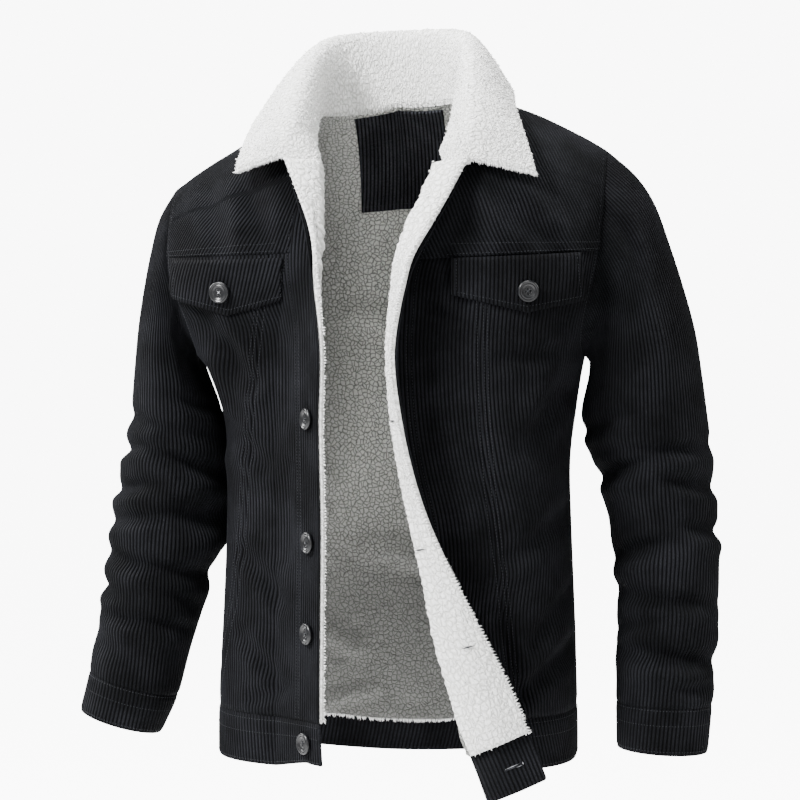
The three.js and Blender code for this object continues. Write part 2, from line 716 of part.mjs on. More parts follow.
function buildFront(side) {
  const corner = cornerRow(side);
  const seam = (row) => seamLength(row, side) - HALF;
  const band = (row) => frontRow(row, side).length - BAND_WIDTH + HALF;
  const edge = (row) => frontRow(row, side).length;
  const strip = (rows) => frontCells(side, rows, () => HALF, seam, PANEL_COLUMNS);
  const panel = trimmed([...LOWER_ROWS, ...ARMHOLE_ROWS, 2], HEM_STEP, SEAM_STEP);
  add(`front_${side}`, shell(strip(panel), 0, CORDUROY, false), corduroy);
  const yoke = trimmed(upperRows(corner), SEAM_STEP, CREST_STEP);
  add(`yoke_${side}`, shell(strip(yoke), 0, CORDUROY, false), corduroy);
  const underCorner = upperRows(corner).slice(0, -CREST_ROWS.length);
  const bandRows = trimmed([...LOWER_ROWS, ...ARMHOLE_ROWS, ...underCorner], HEM_STEP, 0);
  const placket = frontCells(side, bandRows, band, edge, BAND_COLUMNS);
  add(`placket_${side}`, shell(placket, 0, CORDUROY, false), corduroy);
  const facing = layer(placket, bandRows.map(() => FACING_SEAM), bandRows.map(() => 0));
  facing.forEach((line, r) => {
    const deeper = bandRows[r] > FACING_ROW ? FACING_DEEPER : 0;
    line.forEach(({ point, normal }) => point.addScaledVector(normal, -deeper));
  });
  add(`facing_${side}`, shell(facing, -FACING_DEPTH, SHERPA, false), sherpa);
  const rows = trimmed([...LOWER_ROWS, ...ARMHOLE_ROWS, ...upperRows(corner)], HEM_STEP, CREST_STEP);
  const lining = layer(strip(rows), fromArmhole(rows), rows.map(() => LINING_SEAM));
  add(`lining_${side}`, shell(lining, -LINING_DEPTH, SHERPA, false), sherpa);
}

function backCells(rows) {
  return rows.map((row) => {
    const { level, step } = normalRow(row, 2.97);
    return spread(HALF / 500, 1 - HALF / 500, BACK_COLUMNS).map((across, i) => {
      const place = clamp(across, 0.004, 0.996);
      const cell = {
        point: backPoint(across, row),
        normal: normalOf(backPoint, place, level, 0.003, step, -1),
      };
      if (row > 1.01 && (i === 0 || i === BACK_COLUMNS)) {
        const side = i === 0 ? 'right' : 'left';
        cell.edgeNormal = armholeMitre(360 - armholeAngle(row, side), side);
      }
      return cell;
    });
  });
}

function buildBack() {
  const rows = trimmed([...LOWER_ROWS, ...ARMHOLE_ROWS, ...upperRows(BACK_CORNER)], HEM_STEP, CREST_STEP);
  const cells = backCells(rows);
  add('back', shell(cells, 0, CORDUROY, false), corduroy);
  const lining = layer(cells, fromArmhole(rows), fromArmhole(rows));
  add('lining_back', shell(lining, -LINING_DEPTH, SHERPA, false), sherpa);
}

// The waistband: right front, back and left front, one strip on the panels' own columns
function buildWaistband() {
  const rows = trimmed(spread(-1, 0, 2), 0, HEM_STEP * 8);
  const fronts = {};
  for (const side of ['right', 'left']) {
    const seam = (row) => seamLength(row, side);
    const edge = (row) => frontRow(row, side).length;
    const panel = frontCells(side, rows, () => HALF, seam, PANEL_COLUMNS);
    const band = frontCells(side, rows, seam, edge, BAND_COLUMNS);
    fronts[side] = rows.map((row, i) => [...panel[i], ...band[i].slice(1)]);
  }
  const back = backCells(rows);
  const cells = rows.map((row, i) => [
    ...fronts.right[i].slice().reverse(),
    ...back[i].slice(1, -1),
    ...fronts.left[i],
  ]);
  add('waistband', shell(cells, 0, BAND, false), corduroy);
}

function buildSleeve(side) {
  const surface = sleevePoint(side);
  const last = SLEEVE[side].length;
  const cuffStart = last - CUFF_RINGS;
  const rowsOf = (corner) => [...upperRows(corner).slice().reverse(), ...ARMHOLE_ROWS.slice().reverse(), 1];
  const frontAngles = rowsOf(cornerRow(side)).map((row) => armholeAngle(row, side));
  const backAngles = rowsOf(BACK_CORNER).map((row) => 360 - armholeAngle(row, side));
  const angles = [...frontAngles, ...backAngles.slice(1, -1).reverse()];
  const cells = (rings) => rings.map((ring) => angles.map((turn) => {
    const place = clamp(ring, 0.06, last - 0.06);
    const cell = { point: surface(turn, ring), normal: normalOf(surface, turn, place, 1, 0.05, FLIP[side]) };
    if (ring < 0.01) {
      cell.edgeNormal = armholeMitre(turn, side);
      const next = surface(turn, 0.3).sub(cell.point).normalize();
      cell.point.addScaledVector(next, GAP + 0.1);
    }
    return cell;
  }));
  const steps = Math.round(cuffStart * 1.5);
  const rings = spread(0, cuffStart - 0.004, steps);
  add(`sleeve_${side}`, shell(cells(rings), 0, CORDUROY, true), corduroy);
  add(`cuff_${side}`, shell(cells([cuffStart + 0.004, cuffStart + 0.5, last]), 0, BAND, true), corduroy);
}

// The neck seam as a line from the right front corner round the back to the left one
function neckLine() {
  const points = [];
  const up = (side) => {
    const corner = cornerRow(side);
    const line = [frontRow(corner, side).points.at(-1)];
    for (const row of spread(mix(corner, 3, 0.15), 3, 8)) {
      line.push(frontRow(row, side).points.at(-1));
    }
    return line;
  };
  const middle = body(SHOULDER_END, 'centre');
  const back = spread(0, 1, 200).map((across) => backPoint(across, 3));
  const inside = back.filter((p) => Math.abs(p.x - middle) < NECK_HALF - 1);
  points.push(...up('right'), ...inside, ...up('left').reverse());
  const lengths = [0];
  for (let i = 1; i < points.length; i += 1) {
    lengths.push(lengths[i - 1] + points[i].distanceTo(points[i - 1]));
  }
  return { points, lengths, length: lengths.at(-1) };
}

const neck = neckLine();
const COLLAR_LIFT = 1.8;
const CORNER_LIFT = 4;

// Collar: from the neck seam up the stand, over the roll and down the fall
function collarPoint(station, part) {
  const last = COLLAR_STATIONS.length - 1;
  const read = (name) => through(COLLAR_STATIONS.map((line) => new THREE.Vector3(...line[name])), station);
  const seam = pointAlong(neck, (neck.length * clamp(station, 0, last)) / last);
  const toCorner = Math.min(station, last - station);
  seam.z += COLLAR_LIFT + CORNER_LIFT * clamp(1 - toCorner / 1.5, 0, 1);
  const roll = read('roll');
  const edge = read('edge');
  const outward = edge.clone().sub(seam).setZ(0).normalize();
  const stand = Math.max(4, roll.z - seam.z);
  const fall = roll.distanceTo(edge);
  if (part <= 1) {
    const curve = new THREE.CubicBezierCurve3(
      seam,
      seam.clone().add(new THREE.Vector3(0, 0, stand * 0.6)),
      roll.clone().addScaledVector(outward, -Math.min(9, stand * 0.3)),
      roll,
    );
    return curve.getPoint(part);
  }
  const swell = edge.clone().lerp(roll, 0.55).addScaledVector(outward, fall * 0.06);
  swell.z += fall * 0.05 * clamp(toCorner, 0, 1);
  const curve = new THREE.CubicBezierCurve3(
    roll,
    roll.clone().addScaledVector(outward, fall * 0.16),
    swell,
    edge,
  );
  return curve.getPoint(part - 1);
}

function buildCollar() {
  const last = COLLAR_STATIONS.length - 1;
  const parts = [0, 0.45, 0.8, 1, 1.15, 1.35, 1.65, 2];
  const cells = parts.map((part) => spread(0, last, 24).map((station) => {
    const place = clamp(station, 0.1, last - 0.1);
    const normal = normalOf(collarPoint, place, clamp(part, 0.05, 1.95), 0.1, 0.05, 1);
    return { point: collarPoint(station, part), normal };
  }));
  add('collar', shell(cells, COLLAR / 2, COLLAR, false), sherpa);
}

// Distance along a row of a front at which it reaches an X
function distanceAt(side, row, x) {
  const { sign } = SIDES[side];
  const { points, lengths } = frontRow(row, side);
  let i = 0;
  while (i < points.length - 2 && sign * points[i + 1].x > sign * x) {
    i += 1;
  }
  return mix(lengths[i], lengths[i + 1], (points[i].x - x) / (points[i].x - points[i + 1].x));
}

// A flap lies on the front: its lower edge falls to a point, and its outer end lifts a little
function flapPoint(side) {
  const flap = FLAPS[side];
  const surface = frontPoint(side);
  const { yoke } = SIDES[side];
  return (across, down) => {
    const x = mix(flap.inner, flap.outer, across) + mix(...flap.slant, across) * down;
    const beforePoint = (flap.point - flap.inner) / (flap.outer - flap.inner);
    const bottom = across < beforePoint
      ? mix(flap.sides[0], flap.tip, across / beforePoint)
      : mix(flap.tip, flap.sides[1], (across - beforePoint) / (1 - beforePoint));
    const z = mix(flap.top, bottom, down);
    const row = 1 + (z - ARMPIT) / (yoke - ARMPIT);
    const point = surface(distanceAt(side, row, x), row);
    point.y -= flap.lift * Math.max(0, across - 0.45) ** 1.5 * (0.25 + 0.75 * down) * 2.2;
    return point;
  };
}

function buildFlap(side) {
  const surface = flapPoint(side);
  const cells = [];
  for (let r = 0; r <= 4; r += 1) {
    const line = [];
    for (let c = 0; c <= 10; c += 1) {
      const across = c / 10;
      const down = r / 4;
      const inside = [clamp(across, 0.03, 0.97), clamp(down, 0.05, 0.95)];
      const normal = normalOf(surface, ...inside, 0.03, 0.05, -FLIP[side]);
      line.push({ point: surface(across, down), normal });
    }
    cells.push(line);
  }
  add(`flap_${side}`, shell(cells, FLAP_REST + FLAP, FLAP, false), corduroy);
}

function buildButton(name, seat, normal) {
  const { radius, rim, thick } = BUTTON;
  const profile = [
    new THREE.Vector2(0, 0),
    new THREE.Vector2(radius - 2.2, 0),
    new THREE.Vector2(radius, 1.4),
    new THREE.Vector2(radius, thick - 1),
    new THREE.Vector2(radius - 1, thick),
    new THREE.Vector2(radius - 2.4, thick),
    new THREE.Vector2(radius - 3.6, thick - rim),
    new THREE.Vector2(0, thick - rim),
  ];
  const geometry = new THREE.LatheGeometry(profile, 12);
  geometry.rotateX(Math.PI / 2);
  const mesh = new THREE.Mesh(geometry, plastic);
  mesh.name = name;
  mesh.quaternion.setFromUnitVectors(new THREE.Vector3(0, 0, 1), normal);
  mesh.position.copy(seat).addScaledVector(normal, BUTTON.rest);
  group.add(mesh);
}

// The row of a front at a height
function rowAt(side, z) {
  const seams = SIDES[side];
  return (z - seams.waist) / (ARMPIT - seams.waist);
}

function buildButtons() {
  const surface = frontPoint('right');
  BUTTON_HEIGHTS.forEach((z, i) => {
    const row = rowAt('right', z);
    const distance = frontRow(row, 'right').length - BUTTON.inset;
    buildButton(`button_${i + 1}`, surface(distance, row), normalOf(surface, distance, row, 6, 0.02, 1));
  });
  const row = -BAND_BUTTON_ROW;
  const distance = frontRow(row, 'right').length - BUTTON.inset - 4;
  buildButton('button_band', surface(distance, row), normalOf(surface, distance, row, 6, 0.02, 1));
  for (const side of ['right', 'left']) {
    const [x, z] = FLAP_BUTTONS[side];
    const flap = FLAPS[side];
    const across = (x - flap.inner) / (flap.outer - flap.inner);
    const down = (z - flap.top) / (flap.tip - flap.top);
    const flapSurface = flapPoint(side);
    const normal = normalOf(flapSurface, across, down, 0.05, 0.1, -FLIP[side]);
    const seat = flapSurface(across, down).addScaledVector(normal, FLAP_REST + FLAP);
    buildButton(`button_flap_${side}`, seat, normal);
  }
}

// Cell at a fractional column and row of a grid of cells
function onCells(cells, columnAt, rowAt) {
  const r = clamp(Math.floor(rowAt), 0, cells.length - 2);
  const c = clamp(Math.floor(columnAt), 0, cells[0].length - 2);
  const lower = between(cells[r][c], cells[r][c + 1], columnAt - c);
  const upper = between(cells[r + 1][c], cells[r + 1][c + 1], columnAt - c);
  return between(lower, upper, rowAt - r);
}

// Neck patch, laid on the facets of the back and its lining, with round lower corners
function buildPatch() {
  const rows = upperRows(BACK_CORNER).slice(0, -1);
  const cells = backCells(rows);
  const first = PATCH.columns[0];
  const last = PATCH.columns.at(-1);
  const grid = PATCH.rows.map((down) => PATCH.columns.map((column) => {
    const toEnd = Math.min(column - first, last - column);
    const round = 1 - Math.sqrt(1 - clamp(1 - toEnd / PATCH.corner, 0, 1) ** 2);
    const lift = down < PATCH.rows[1] + 0.1 ? round * PATCH.cornerRise : 0;
    return onCells(cells, column, down + lift);
  }));
  add('neck_patch', shell(grid, -PATCH_DEPTH, CORDUROY, false), corduroy);
}

buildBack();
for (const side of ['right', 'left']) {
  buildFront(side);
  buildSleeve(side);
  buildFlap(side);
}
buildWaistband();
buildCollar();
buildPatch();
buildButtons();

export default group;
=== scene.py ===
"""A sherpa lined corduroy jacket, worn open round nobody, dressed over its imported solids.

Lengths in this file are millimetres on the frame's own axes, and metre() turns them to metres:
+Z up, X to the wearer's left, the front facing -Y, the origin in the middle of the neck.
Every cloth is a surface worked out as whole arrays: rows run round the body or the sleeve,
and columns run along the wales, so that each rib is real relief.
"""
import math
import bpy
import numpy as np
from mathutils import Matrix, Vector


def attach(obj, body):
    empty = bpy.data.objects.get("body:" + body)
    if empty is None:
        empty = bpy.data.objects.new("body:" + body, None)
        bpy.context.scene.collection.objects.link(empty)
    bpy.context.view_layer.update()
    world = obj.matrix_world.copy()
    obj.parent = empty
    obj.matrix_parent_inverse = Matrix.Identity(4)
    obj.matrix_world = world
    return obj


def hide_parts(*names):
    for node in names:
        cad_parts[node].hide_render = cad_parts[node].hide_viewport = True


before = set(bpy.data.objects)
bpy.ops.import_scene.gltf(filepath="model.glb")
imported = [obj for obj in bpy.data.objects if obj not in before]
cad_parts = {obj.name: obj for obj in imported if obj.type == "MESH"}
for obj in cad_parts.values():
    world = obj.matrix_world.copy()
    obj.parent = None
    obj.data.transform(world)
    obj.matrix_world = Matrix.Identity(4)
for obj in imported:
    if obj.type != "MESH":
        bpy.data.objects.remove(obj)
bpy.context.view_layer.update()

# Thickness of each layer
CORDUROY, BAND, FLAP = 1.8, 3.4, 2.4
SHERPA, LINING_PILE_HEIGHT, COLLAR = 5.0, 3.3, 8.0

# How far each layer lies behind the face of the cloth, and how far a flap rests in front of it
LINING_DEPTH = 4.2
FACING_DEPTH = 3.2
FACING_DEEPER = 3.4
PATCH_DEPTH = 8.8
FLAP_REST = 0.8

# How far a sleeve's head runs on under the body and drops below its face, and the tab's corner radius
TUCK = 4.0
TUCK_DROP = 2.4
TAB_ROUND = 3.0

# Corduroy: one rib every WALE, with STEPS columns on each
WALE = 4.1
STEPS = 4
RIB = 0.75

# Points on each row of a front, up to where its band leaves the body and through the band
PLAN_POINTS = 49
BAND_POINTS = 48

# Heights and sizes of the body that the panels follow
ARMPIT = -240.0
SHOULDER_END = -54.0
CREST_Y = 8.0
FRONT_ROLL = 140.0
BACK_ROLL = 120.0
FRONT_SQUARE = 2.8
BACK_SQUARE = 2.5
NECK_HALF = 80.0
NECK_DEPTH = 62.0
ARMHOLE_INSET = 0.06
LEAN = 0.1
LEAN_FLOOR = -250.0
BAND_WIDTH = 40.0
NECK_CORNER = -43.0
CREST_PART = 0.42
CREST_RISE = 0.2

# z, half width, depth forward, depth back, middle in X
BODY = np.array([
    (-690, 184, 124, 112, 1),
    (-640, 185, 125, 114, 1),
    (-590, 184, 127, 117, 1),
    (-500, 180, 129, 117, 2),
    (-404, 176, 130, 115, 2),
    (-350, 176, 131, 117, 1),
    (-300, 182, 131, 121, 0),
    (-240, 198, 131, 127, -6),
    (-150, 231, 128, 130, -10),
    (-60, 237, 124, 128, -8),
    (60, 238, 122, 126, -8),
], float)
HALF, FRONT, BACK, CENTRE = 1, 2, 3, 4

# distance out from the middle, height of the shoulder line
SHOULDER = np.array([
    (-40, 38),
    (0, 38),
    (80, 18),
    (140, -5),
    (190, -32),
    (225, -54),
    (270, -88),
], float)

# height, reach of the band, fold in x y z, edge in x y z
OPENING = {
    "right": np.array([
        (-660, 34, -79, -152, -648, -59, -172, -648),
        (-600, 34, -78, -154, -598, -61, -176, -597),
        (-500, 34, -77, -156, -500, -60, -179, -500),
        (-400, 34, -76, -157, -400, -59, -181, -400),
        (-300, 34, -76, -157, -300, -61, -180, -300),
        (-240, 34, -74, -161, -240, -59.5, -180, -240),
        (-208, 34, -72, -160, -208, -61.5, -177, -208),
        (-180, 33, -70, -151, -180, -67, -163, -180),
        (-150, 32, -71, -142, -150, -71.5, -153, -150),
        (-110, 30, -72, -129, -110, -79, -142, -109),
        (-75, 28, -73, -114, -76, -90, -127, -75),
        (-43, 26, -75, -98, -46, -103, -108, -43),
    ], float),
    "left": np.array([
        (-660, 44, 109, -126, -686, 165, -130, -662),
        (-600, 44, 89, -130, -631, 144, -137, -607),
        (-550, 44, 75, -135, -574, 124, -143, -557),
        (-500, 44, 59, -140, -516, 99, -151, -505),
        (-450, 44, 49, -144, -460, 74, -157, -452),
        (-400, 44, 37, -147, -404, 52, -162, -400),
        (-350, 44, 27, -148, -352, 37, -170, -350),
        (-300, 44, 19, -148, -301, 26, -172, -300),
        (-240, 44, 14, -146, -240, 18, -170, -240),
        (-200, 42, 15, -143, -200, 21, -167, -200),
        (-150, 38, 20, -135, -150, 32, -158, -150),
        (-110, 32, 33, -127, -108, 51, -142, -109),
        (-75, 26, 47, -117, -75, 68, -130, -76),
        (-43, 20, 57, -103, -47, 82, -112, -45),
    ], float),
}

# sign in X, yoke seam, waist seam and hem of each side, and those of the middle of the back
SIGN = {"right": -1.0, "left": 1.0}
YOKE = {"right": -129.0, "left": -140.0, "back": -134.0}
WAIST = {"right": -600.0, "left": -600.0, "back": -628.0}
HEM = {"right": -650.0, "left": -652.0, "back": -671.0}

# outer x z, inner x z, middle in y, half depth in y
SLEEVE = {
    "right": np.array([
        (-246, -100, -207, -244, 4, 66),
        (-255, -132, -208, -249, 6, 69),
        (-263, -170, -206, -256, 9, 73),
        (-270, -212, -202, -266, 12, 76),
        (-275, -255, -196, -284, 15, 76),
        (-280, -300, -189, -314, 18, 74),
        (-287, -340, -182, -354, 20, 69),
        (-295, -374, -179, -394, 21, 65),
        (-301, -407, -182, -433, 20, 61),
        (-306, -445, -194, -473, 16, 57),
        (-310, -485, -207, -513, 11, 53),
        (-315, -522, -219, -549, 5, 50),
        (-323, -572, -231, -597, -2, 46),
        (-332, -612, -248, -636, -7, 44),
    ], float),
    "left": np.array([
        (243, -58, 195, -244, 4, 66),
        (262, -86, 197, -248, 6, 70),
        (277, -126, 197, -254, 9, 74),
        (292, -172, 196, -263, 12, 76),
        (304, -216, 194, -277, 15, 76),
        (311, -259, 193, -298, 18, 74),
        (317, -303, 195, -326, 20, 70),
        (322, -339, 200, -353, 22, 66),
        (324, -376, 208, -384, 22, 62),
        (329, -413, 217, -416, 20, 59),
        (330, -450, 220, -450, 17, 56),
        (330, -488, 227, -486, 12, 53),
        (330, -525, 225, -522, 6, 51),
        (326, -562, 226, -558, 0, 49),
        (324, -598, 226, -595, -5, 47),
        (320, -646, 227, -641, -9, 46),
    ], float),
}

# ring, degrees round from the outer side to the front, rings climbed, half sizes along and round, depth
CREASES = {
    "right": np.array([
        (1.5, 115, 0, 1.3, 8, 3.5),
        (2.6, 150, 0, 1.5, 9, 4),
        (6.4, 168, 0, 1.3, 42, -8),
        (8.5, 176, 0, 0.7, 30, -9),
        (5.4, 140, 0.4, 0.25, 45, 4),
        (6.2, 60, 0.1, 0.22, 70, 6),
        (6.95, 25, -0.5, 0.2, 45, 6),
        (7.1, 120, 0.5, 0.24, 55, 9),
        (8.05, 40, -0.6, 0.24, 45, 9),
        (8.45, 140, -0.3, 0.4, 48, 14),
        (9.0, 45, -0.6, 0.2, 45, 6),
        (10.05, 85, -0.05, 0.22, 85, 9),
        (10.6, 125, 0.6, 0.2, 40, 5),
        (10.95, 15, 0.3, 0.2, 45, 5),
        (11.5, 95, -0.15, 0.2, 60, 7),
        (12.3, 50, 0.35, 0.24, 50, 4),
        (6.8, 290, 0.4, 0.22, 60, 6),
        (7.9, 260, -0.3, 0.26, 55, 8),
        (9.1, 285, 0.3, 0.22, 60, 6),
        (10.3, 250, 0.4, 0.24, 55, 7),
        (11.4, 280, -0.3, 0.2, 60, 5),
    ], float),
    "left": np.array([
        (1.7, 62, 0, 1.4, 7, 5),
        (3.0, 100, 0, 1.6, 8, 3.5),
        (6.4, 172, 0, 1.2, 36, -5),
        (6.6, 150, 0.4, 0.25, 45, 5),
        (7.7, 60, -0.3, 0.22, 60, 6),
        (8.2, 130, 0.5, 0.26, 55, 11),
        (8.8, 40, -0.45, 0.22, 50, 8),
        (10.1, 30, -0.4, 0.22, 50, 7),
        (10.6, 120, 0.5, 0.28, 55, 10),
        (12.0, 95, -0.2, 0.22, 70, 7),
        (12.8, 140, 0.4, 0.2, 45, 5),
        (13.6, 75, -0.2, 0.26, 75, 11),
        (14.4, 40, 0.3, 0.2, 45, 4),
        (7.4, 290, 0.4, 0.22, 60, 6),
        (8.6, 255, -0.4, 0.26, 55, 8),
        (10.0, 285, 0.3, 0.22, 60, 7),
        (11.5, 250, 0.4, 0.24, 55, 6),
        (13.0, 280, -0.3, 0.24, 60, 7),
    ], float),
}

# roll in x y z, edge in x y z, from the right front corner round the back to the left one
COLLAR_STATIONS = np.array([
    (-101, -110, -39, -152, -107, -54),
    (-97, -92, -3, -150, -80, -38),
    (-93, -42, 38, -147, -34, -16),
    (-86, 12, 66, -145, 16, -6),
    (-68, 56, 84, -116, 76, 0),
    (-9, 80, 90, -9, 108, 8),
    (50, 56, 90, 96, 76, 18),
    (71, 12, 79, 114, 16, 26),
    (79, -42, 46, 122, -36, 9),
    (83, -94, 2, 137, -81, -25),
    (84, -115, -43, 149, -105, -56),
], float)

# ends in x at the top, how far each slants on the way down, the point's place on the top line,
# heights of the top, of both lower corners and of the point, and the lift of the outer end
FLAPS = {
    "right": dict(inner=-73, outer=-220, slant=(-19, -4), point=-147.5,
                  top=-134, sides=(-176, -175), tip=-195, lift=12),
    "left": dict(inner=66, outer=191, slant=(0, 5), point=137,
                 top=-141, sides=(-176, -184), tip=-194, lift=3),
}

# Creases of the body pressed in: x and z of both ends, half width and depth
FOLDS = {
    "right": np.array([
        (-192, -198, -138, -264, 11, 7),
        (-163, -310, -123, -346, 9, 4.5),
        (-95, -219, -93, -299, 8, 3.5),
        (-93, -348, -97, -438, 9, 3),
        (-147, -436, -102, -484, 9, 5),
        (-150, -521, -106, -565, 8, 4.5),
        (-136, -584, -89, -569, 7, 3.5),
        (-161, -231, -155, -301, 10, 4),
        (-140, -77, -124, -119, 15, 5),
        (-185, -71, -168, -119, 13, 4),
        (-196, -256, -168, -330, 11, 6),
    ], float),
    "left": np.array([
        (40, -179, 73, -197, 5, 4),
        (61, -130, 83, -204, 10, 4.5),
        (113, -241, 187, -229, 9, 3.5),
        (88, -307, 114, -431, 13, 5),
        (189, -529, 136, -577, 9, 7),
        (183, -474, 145, -525, 8, 4.5),
        (115, -498, 133, -576, 8, 4.5),
        (173, -276, 134, -328, 10, 4.5),
        (177, -395, 126, -438, 10, 4.5),
        (68, -69, 89, -120, 14, 5),
        (112, -71, 152, -116, 12, 4.5),
        (167, -121, 177, -210, 10, 4),
        (176, -254, 152, -334, 11, 5),
    ], float),
    "back": np.array([
        (-60, -205, 44, -232, 14, 5),
        (82, -322, 148, -300, 12, 5),
        (-152, -340, -88, -382, 12, 5.5),
        (-42, -452, 58, -470, 14, 4),
        (-132, -520, -58, -562, 11, 5),
        (70, -562, 152, -528, 12, 5.5),
        (2, -604, 18, -500, 12, 3),
        (-172, -205, -142, -300, 12, 7),
        (168, -200, 148, -312, 12, 7),
        (-20, -300, 30, -392, 16, 3.5),
        (-96, -620, -40, -606, 8, 3),
        (60, -90, 120, -130, 14, 4),
    ], float),
}

# Seams shaped like a V down each front: z and x of the inner one
SHAPED_SEAMS = {
    "right": ((-600, -527, -488, -428, -345, -140), (-182, -166, -156, -147, -140, -117)),
    "left": ((-600, -535, -483, -370, -288, -140), (131, 121, 115, 102, 95, 92)),
}

# Furrows of a shaped seam and its partner: how far outward, depth and half width
SEAM_FURROWS = ((0.0, 1.1, 1.4), (6.5, 0.7, 1.0))

FOLD_GAIN = 1.3
BUTTON_INSET = 19.0
BUTTON_HEIGHTS = (-296.0, -418.0, -509.0)
# Distances of the ends of the tab's buttonhole from its edge
TAB_HOLE = (39, 16)


def metre(points):
    """Millimetres to the frame's metres."""
    return np.asarray(points, float) * 0.001


def mix(a, b, t):
    """The value a part t of the way from a to b."""
    return a + (b - a) * t


def smooth(value, low, high):
    """0 below low, 1 above high, and the cubic 3t^2 - 2t^3 between."""
    t = np.clip((value - low) / (high - low), 0, 1)
    return t * t * (3 - 2 * t)


def unit(v):
    """Vectors shortened to length one."""
    return v / np.maximum(np.linalg.norm(v, axis=-1, keepdims=True), 1e-9)


def read(table, at, name):
    """A column of a table at any key: cubic Hermite, with slopes taken from both neighbours."""
    keys, values = table[:, 0], table[:, name]
    last = len(keys) - 1
    i = np.clip(np.searchsorted(keys, at) - 1, 0, last - 1)
    slopes = np.empty(last + 1)
    slopes[1:-1] = (values[2:] - values[:-2]) / (keys[2:] - keys[:-2])
    slopes[0] = (values[1] - values[0]) / (keys[1] - keys[0])
    slopes[-1] = (values[-1] - values[-2]) / (keys[-1] - keys[-2])
    step = keys[i + 1] - keys[i]
    t = np.clip((at - keys[i]) / step, 0, 1)
    t2, t3 = t * t, t * t * t
    return ((2 * t3 - 3 * t2 + 1) * values[i] + (t3 - 2 * t2 + t) * step * slopes[i]
            + (3 * t2 - 2 * t3) * values[i + 1] + (t3 - t2) * step * slopes[i + 1])


def through(points, at):
    """A Catmull-Rom curve through points, listed along the first axis, at fractional places."""
    first, final = 2 * points[:1] - points[1:2], 2 * points[-1:] - points[-2:-1]
    p = np.concatenate([first, points, final])
    i = np.clip(np.floor(at).astype(int), 0, len(points) - 2)
    t = (at - i)[(...,) + (None,) * (points.ndim - 1)]
    t2, t3 = t * t, t * t * t
    return (p[i] * (-0.5 * t3 + t2 - 0.5 * t) + p[i + 1] * (1.5 * t3 - 2.5 * t2 + 1)
            + p[i + 2] * (-1.5 * t3 + 2 * t2 + 0.5 * t) + p[i + 3] * (0.5 * t3 - 0.5 * t2))


def shoulder_line(x):
    """Height of the shoulder at an x."""
    return read(SHOULDER, np.abs(x - read(BODY, SHOULDER_END, CENTRE)), 1)


def leaned(x, y, z):
    """A point whose height rises towards the wearer's left, more so higher up."""
    return np.stack(np.broadcast_arrays(x, y, z + x * LEAN * smooth(z, LEAN_FLOOR, 0)), -1)


def depth_at(x, z, front):
    """y of the cloth: a superellipse in plan, rolled over the shoulder as a quarter of an arc."""
    square = FRONT_SQUARE if front else BACK_SQUARE
    reach = np.clip(np.abs((x - read(BODY, z, CENTRE)) / read(BODY, z, HALF)), 0, 1)
    full = (1 - reach ** square) ** (1 / square)
    plan = -read(BODY, z, FRONT) * full if front else read(BODY, z, BACK) * full
    drop = np.clip((shoulder_line(x) - z) / (FRONT_ROLL if front else BACK_ROLL), 0, 1)
    return mix(CREST_Y, plan, np.sqrt(1 - (1 - drop) ** 2))


def back_top(x):
    """Height of the back's top edge: the shoulder line, with the round neckline cut into it."""
    out = np.abs(x - read(BODY, SHOULDER_END, CENTRE))
    crest = shoulder_line(x)
    deep = NECK_DEPTH * np.sqrt(np.clip(1 - (out / NECK_HALF) ** 2, 0, 1))
    part = np.clip(deep / (read(BODY, crest, BACK) - CREST_Y), 0, 1)
    return crest - BACK_ROLL * (1 - np.sqrt(1 - part * part))


def row_height(x, row, side, front):
    """Height of a row: -1 hem, 0 waist seam, 1 armpit, 2 yoke seam, 3 shoulder line or back neck."""
    if front:
        hem, waist, yoke = HEM[side], WAIST[side], YOKE[side]
    else:
        to_side = np.minimum(1, np.abs(x) / 180) ** 2
        near = [np.where(x < 0, t["right"], t["left"]) for t in (HEM, WAIST, YOKE)]
        hem, waist, yoke = (mix(t["back"], n, to_side) for t, n in zip((HEM, WAIST, YOKE), near))
    top = shoulder_line(x) if front else back_top(x)
    low = np.where(row <= 0, mix(hem, waist, row + 1), mix(waist, ARMPIT, row))
    high = np.where(row <= 2, mix(ARMPIT, yoke, row - 1), mix(yoke, top, row - 2))
    return np.where(row <= 1, low, high)


def side_x(row, side, front):
    """x of the side seam, or of the armhole above the armpit, found by repetition."""
    sign = SIGN[side]
    x = np.full(np.shape(row), sign * 200.0)
    for _ in range(8):
        z = row_height(x, row, side, front)
        up = np.clip((z - ARMPIT) / (SHOULDER_END - ARMPIT), 0, 1)
        inset = np.where(row > 1, ARMHOLE_INSET * (1 - (1 - up) ** 6), 0)
        x = read(BODY, z, CENTRE) + sign * read(BODY, z, HALF) * (1 - inset)
    return x


def running(path):
    """Running length along a path of points."""
    return np.concatenate([[0], np.cumsum(np.linalg.norm(np.diff(path, axis=0), axis=-1))])


def lengths_of(points):
    """Running length along the second axis of a grid of points."""
    step = np.linalg.norm(np.diff(points, axis=1), axis=-1)
    return np.concatenate([np.zeros((len(points), 1)), np.cumsum(step, axis=1)], axis=1)


def along(grid, values, u):
    """Rows of a grid read at distances u. values is the running length of each row."""
    out = np.empty(u.shape + grid.shape[2:])
    for r in range(len(u)):
        for k in range(grid.shape[2]):
            out[r, :, k] = np.interp(u[r], values[r], grid[r, :, k])
    return out


def corner_row(side):
    """The row that ends at the neck corner."""
    top = row_height(np.array(SIGN[side] * 60.0), np.array(3.0), side, True)
    return float(2 + (NECK_CORNER - YOKE[side]) / (top - YOKE[side]))


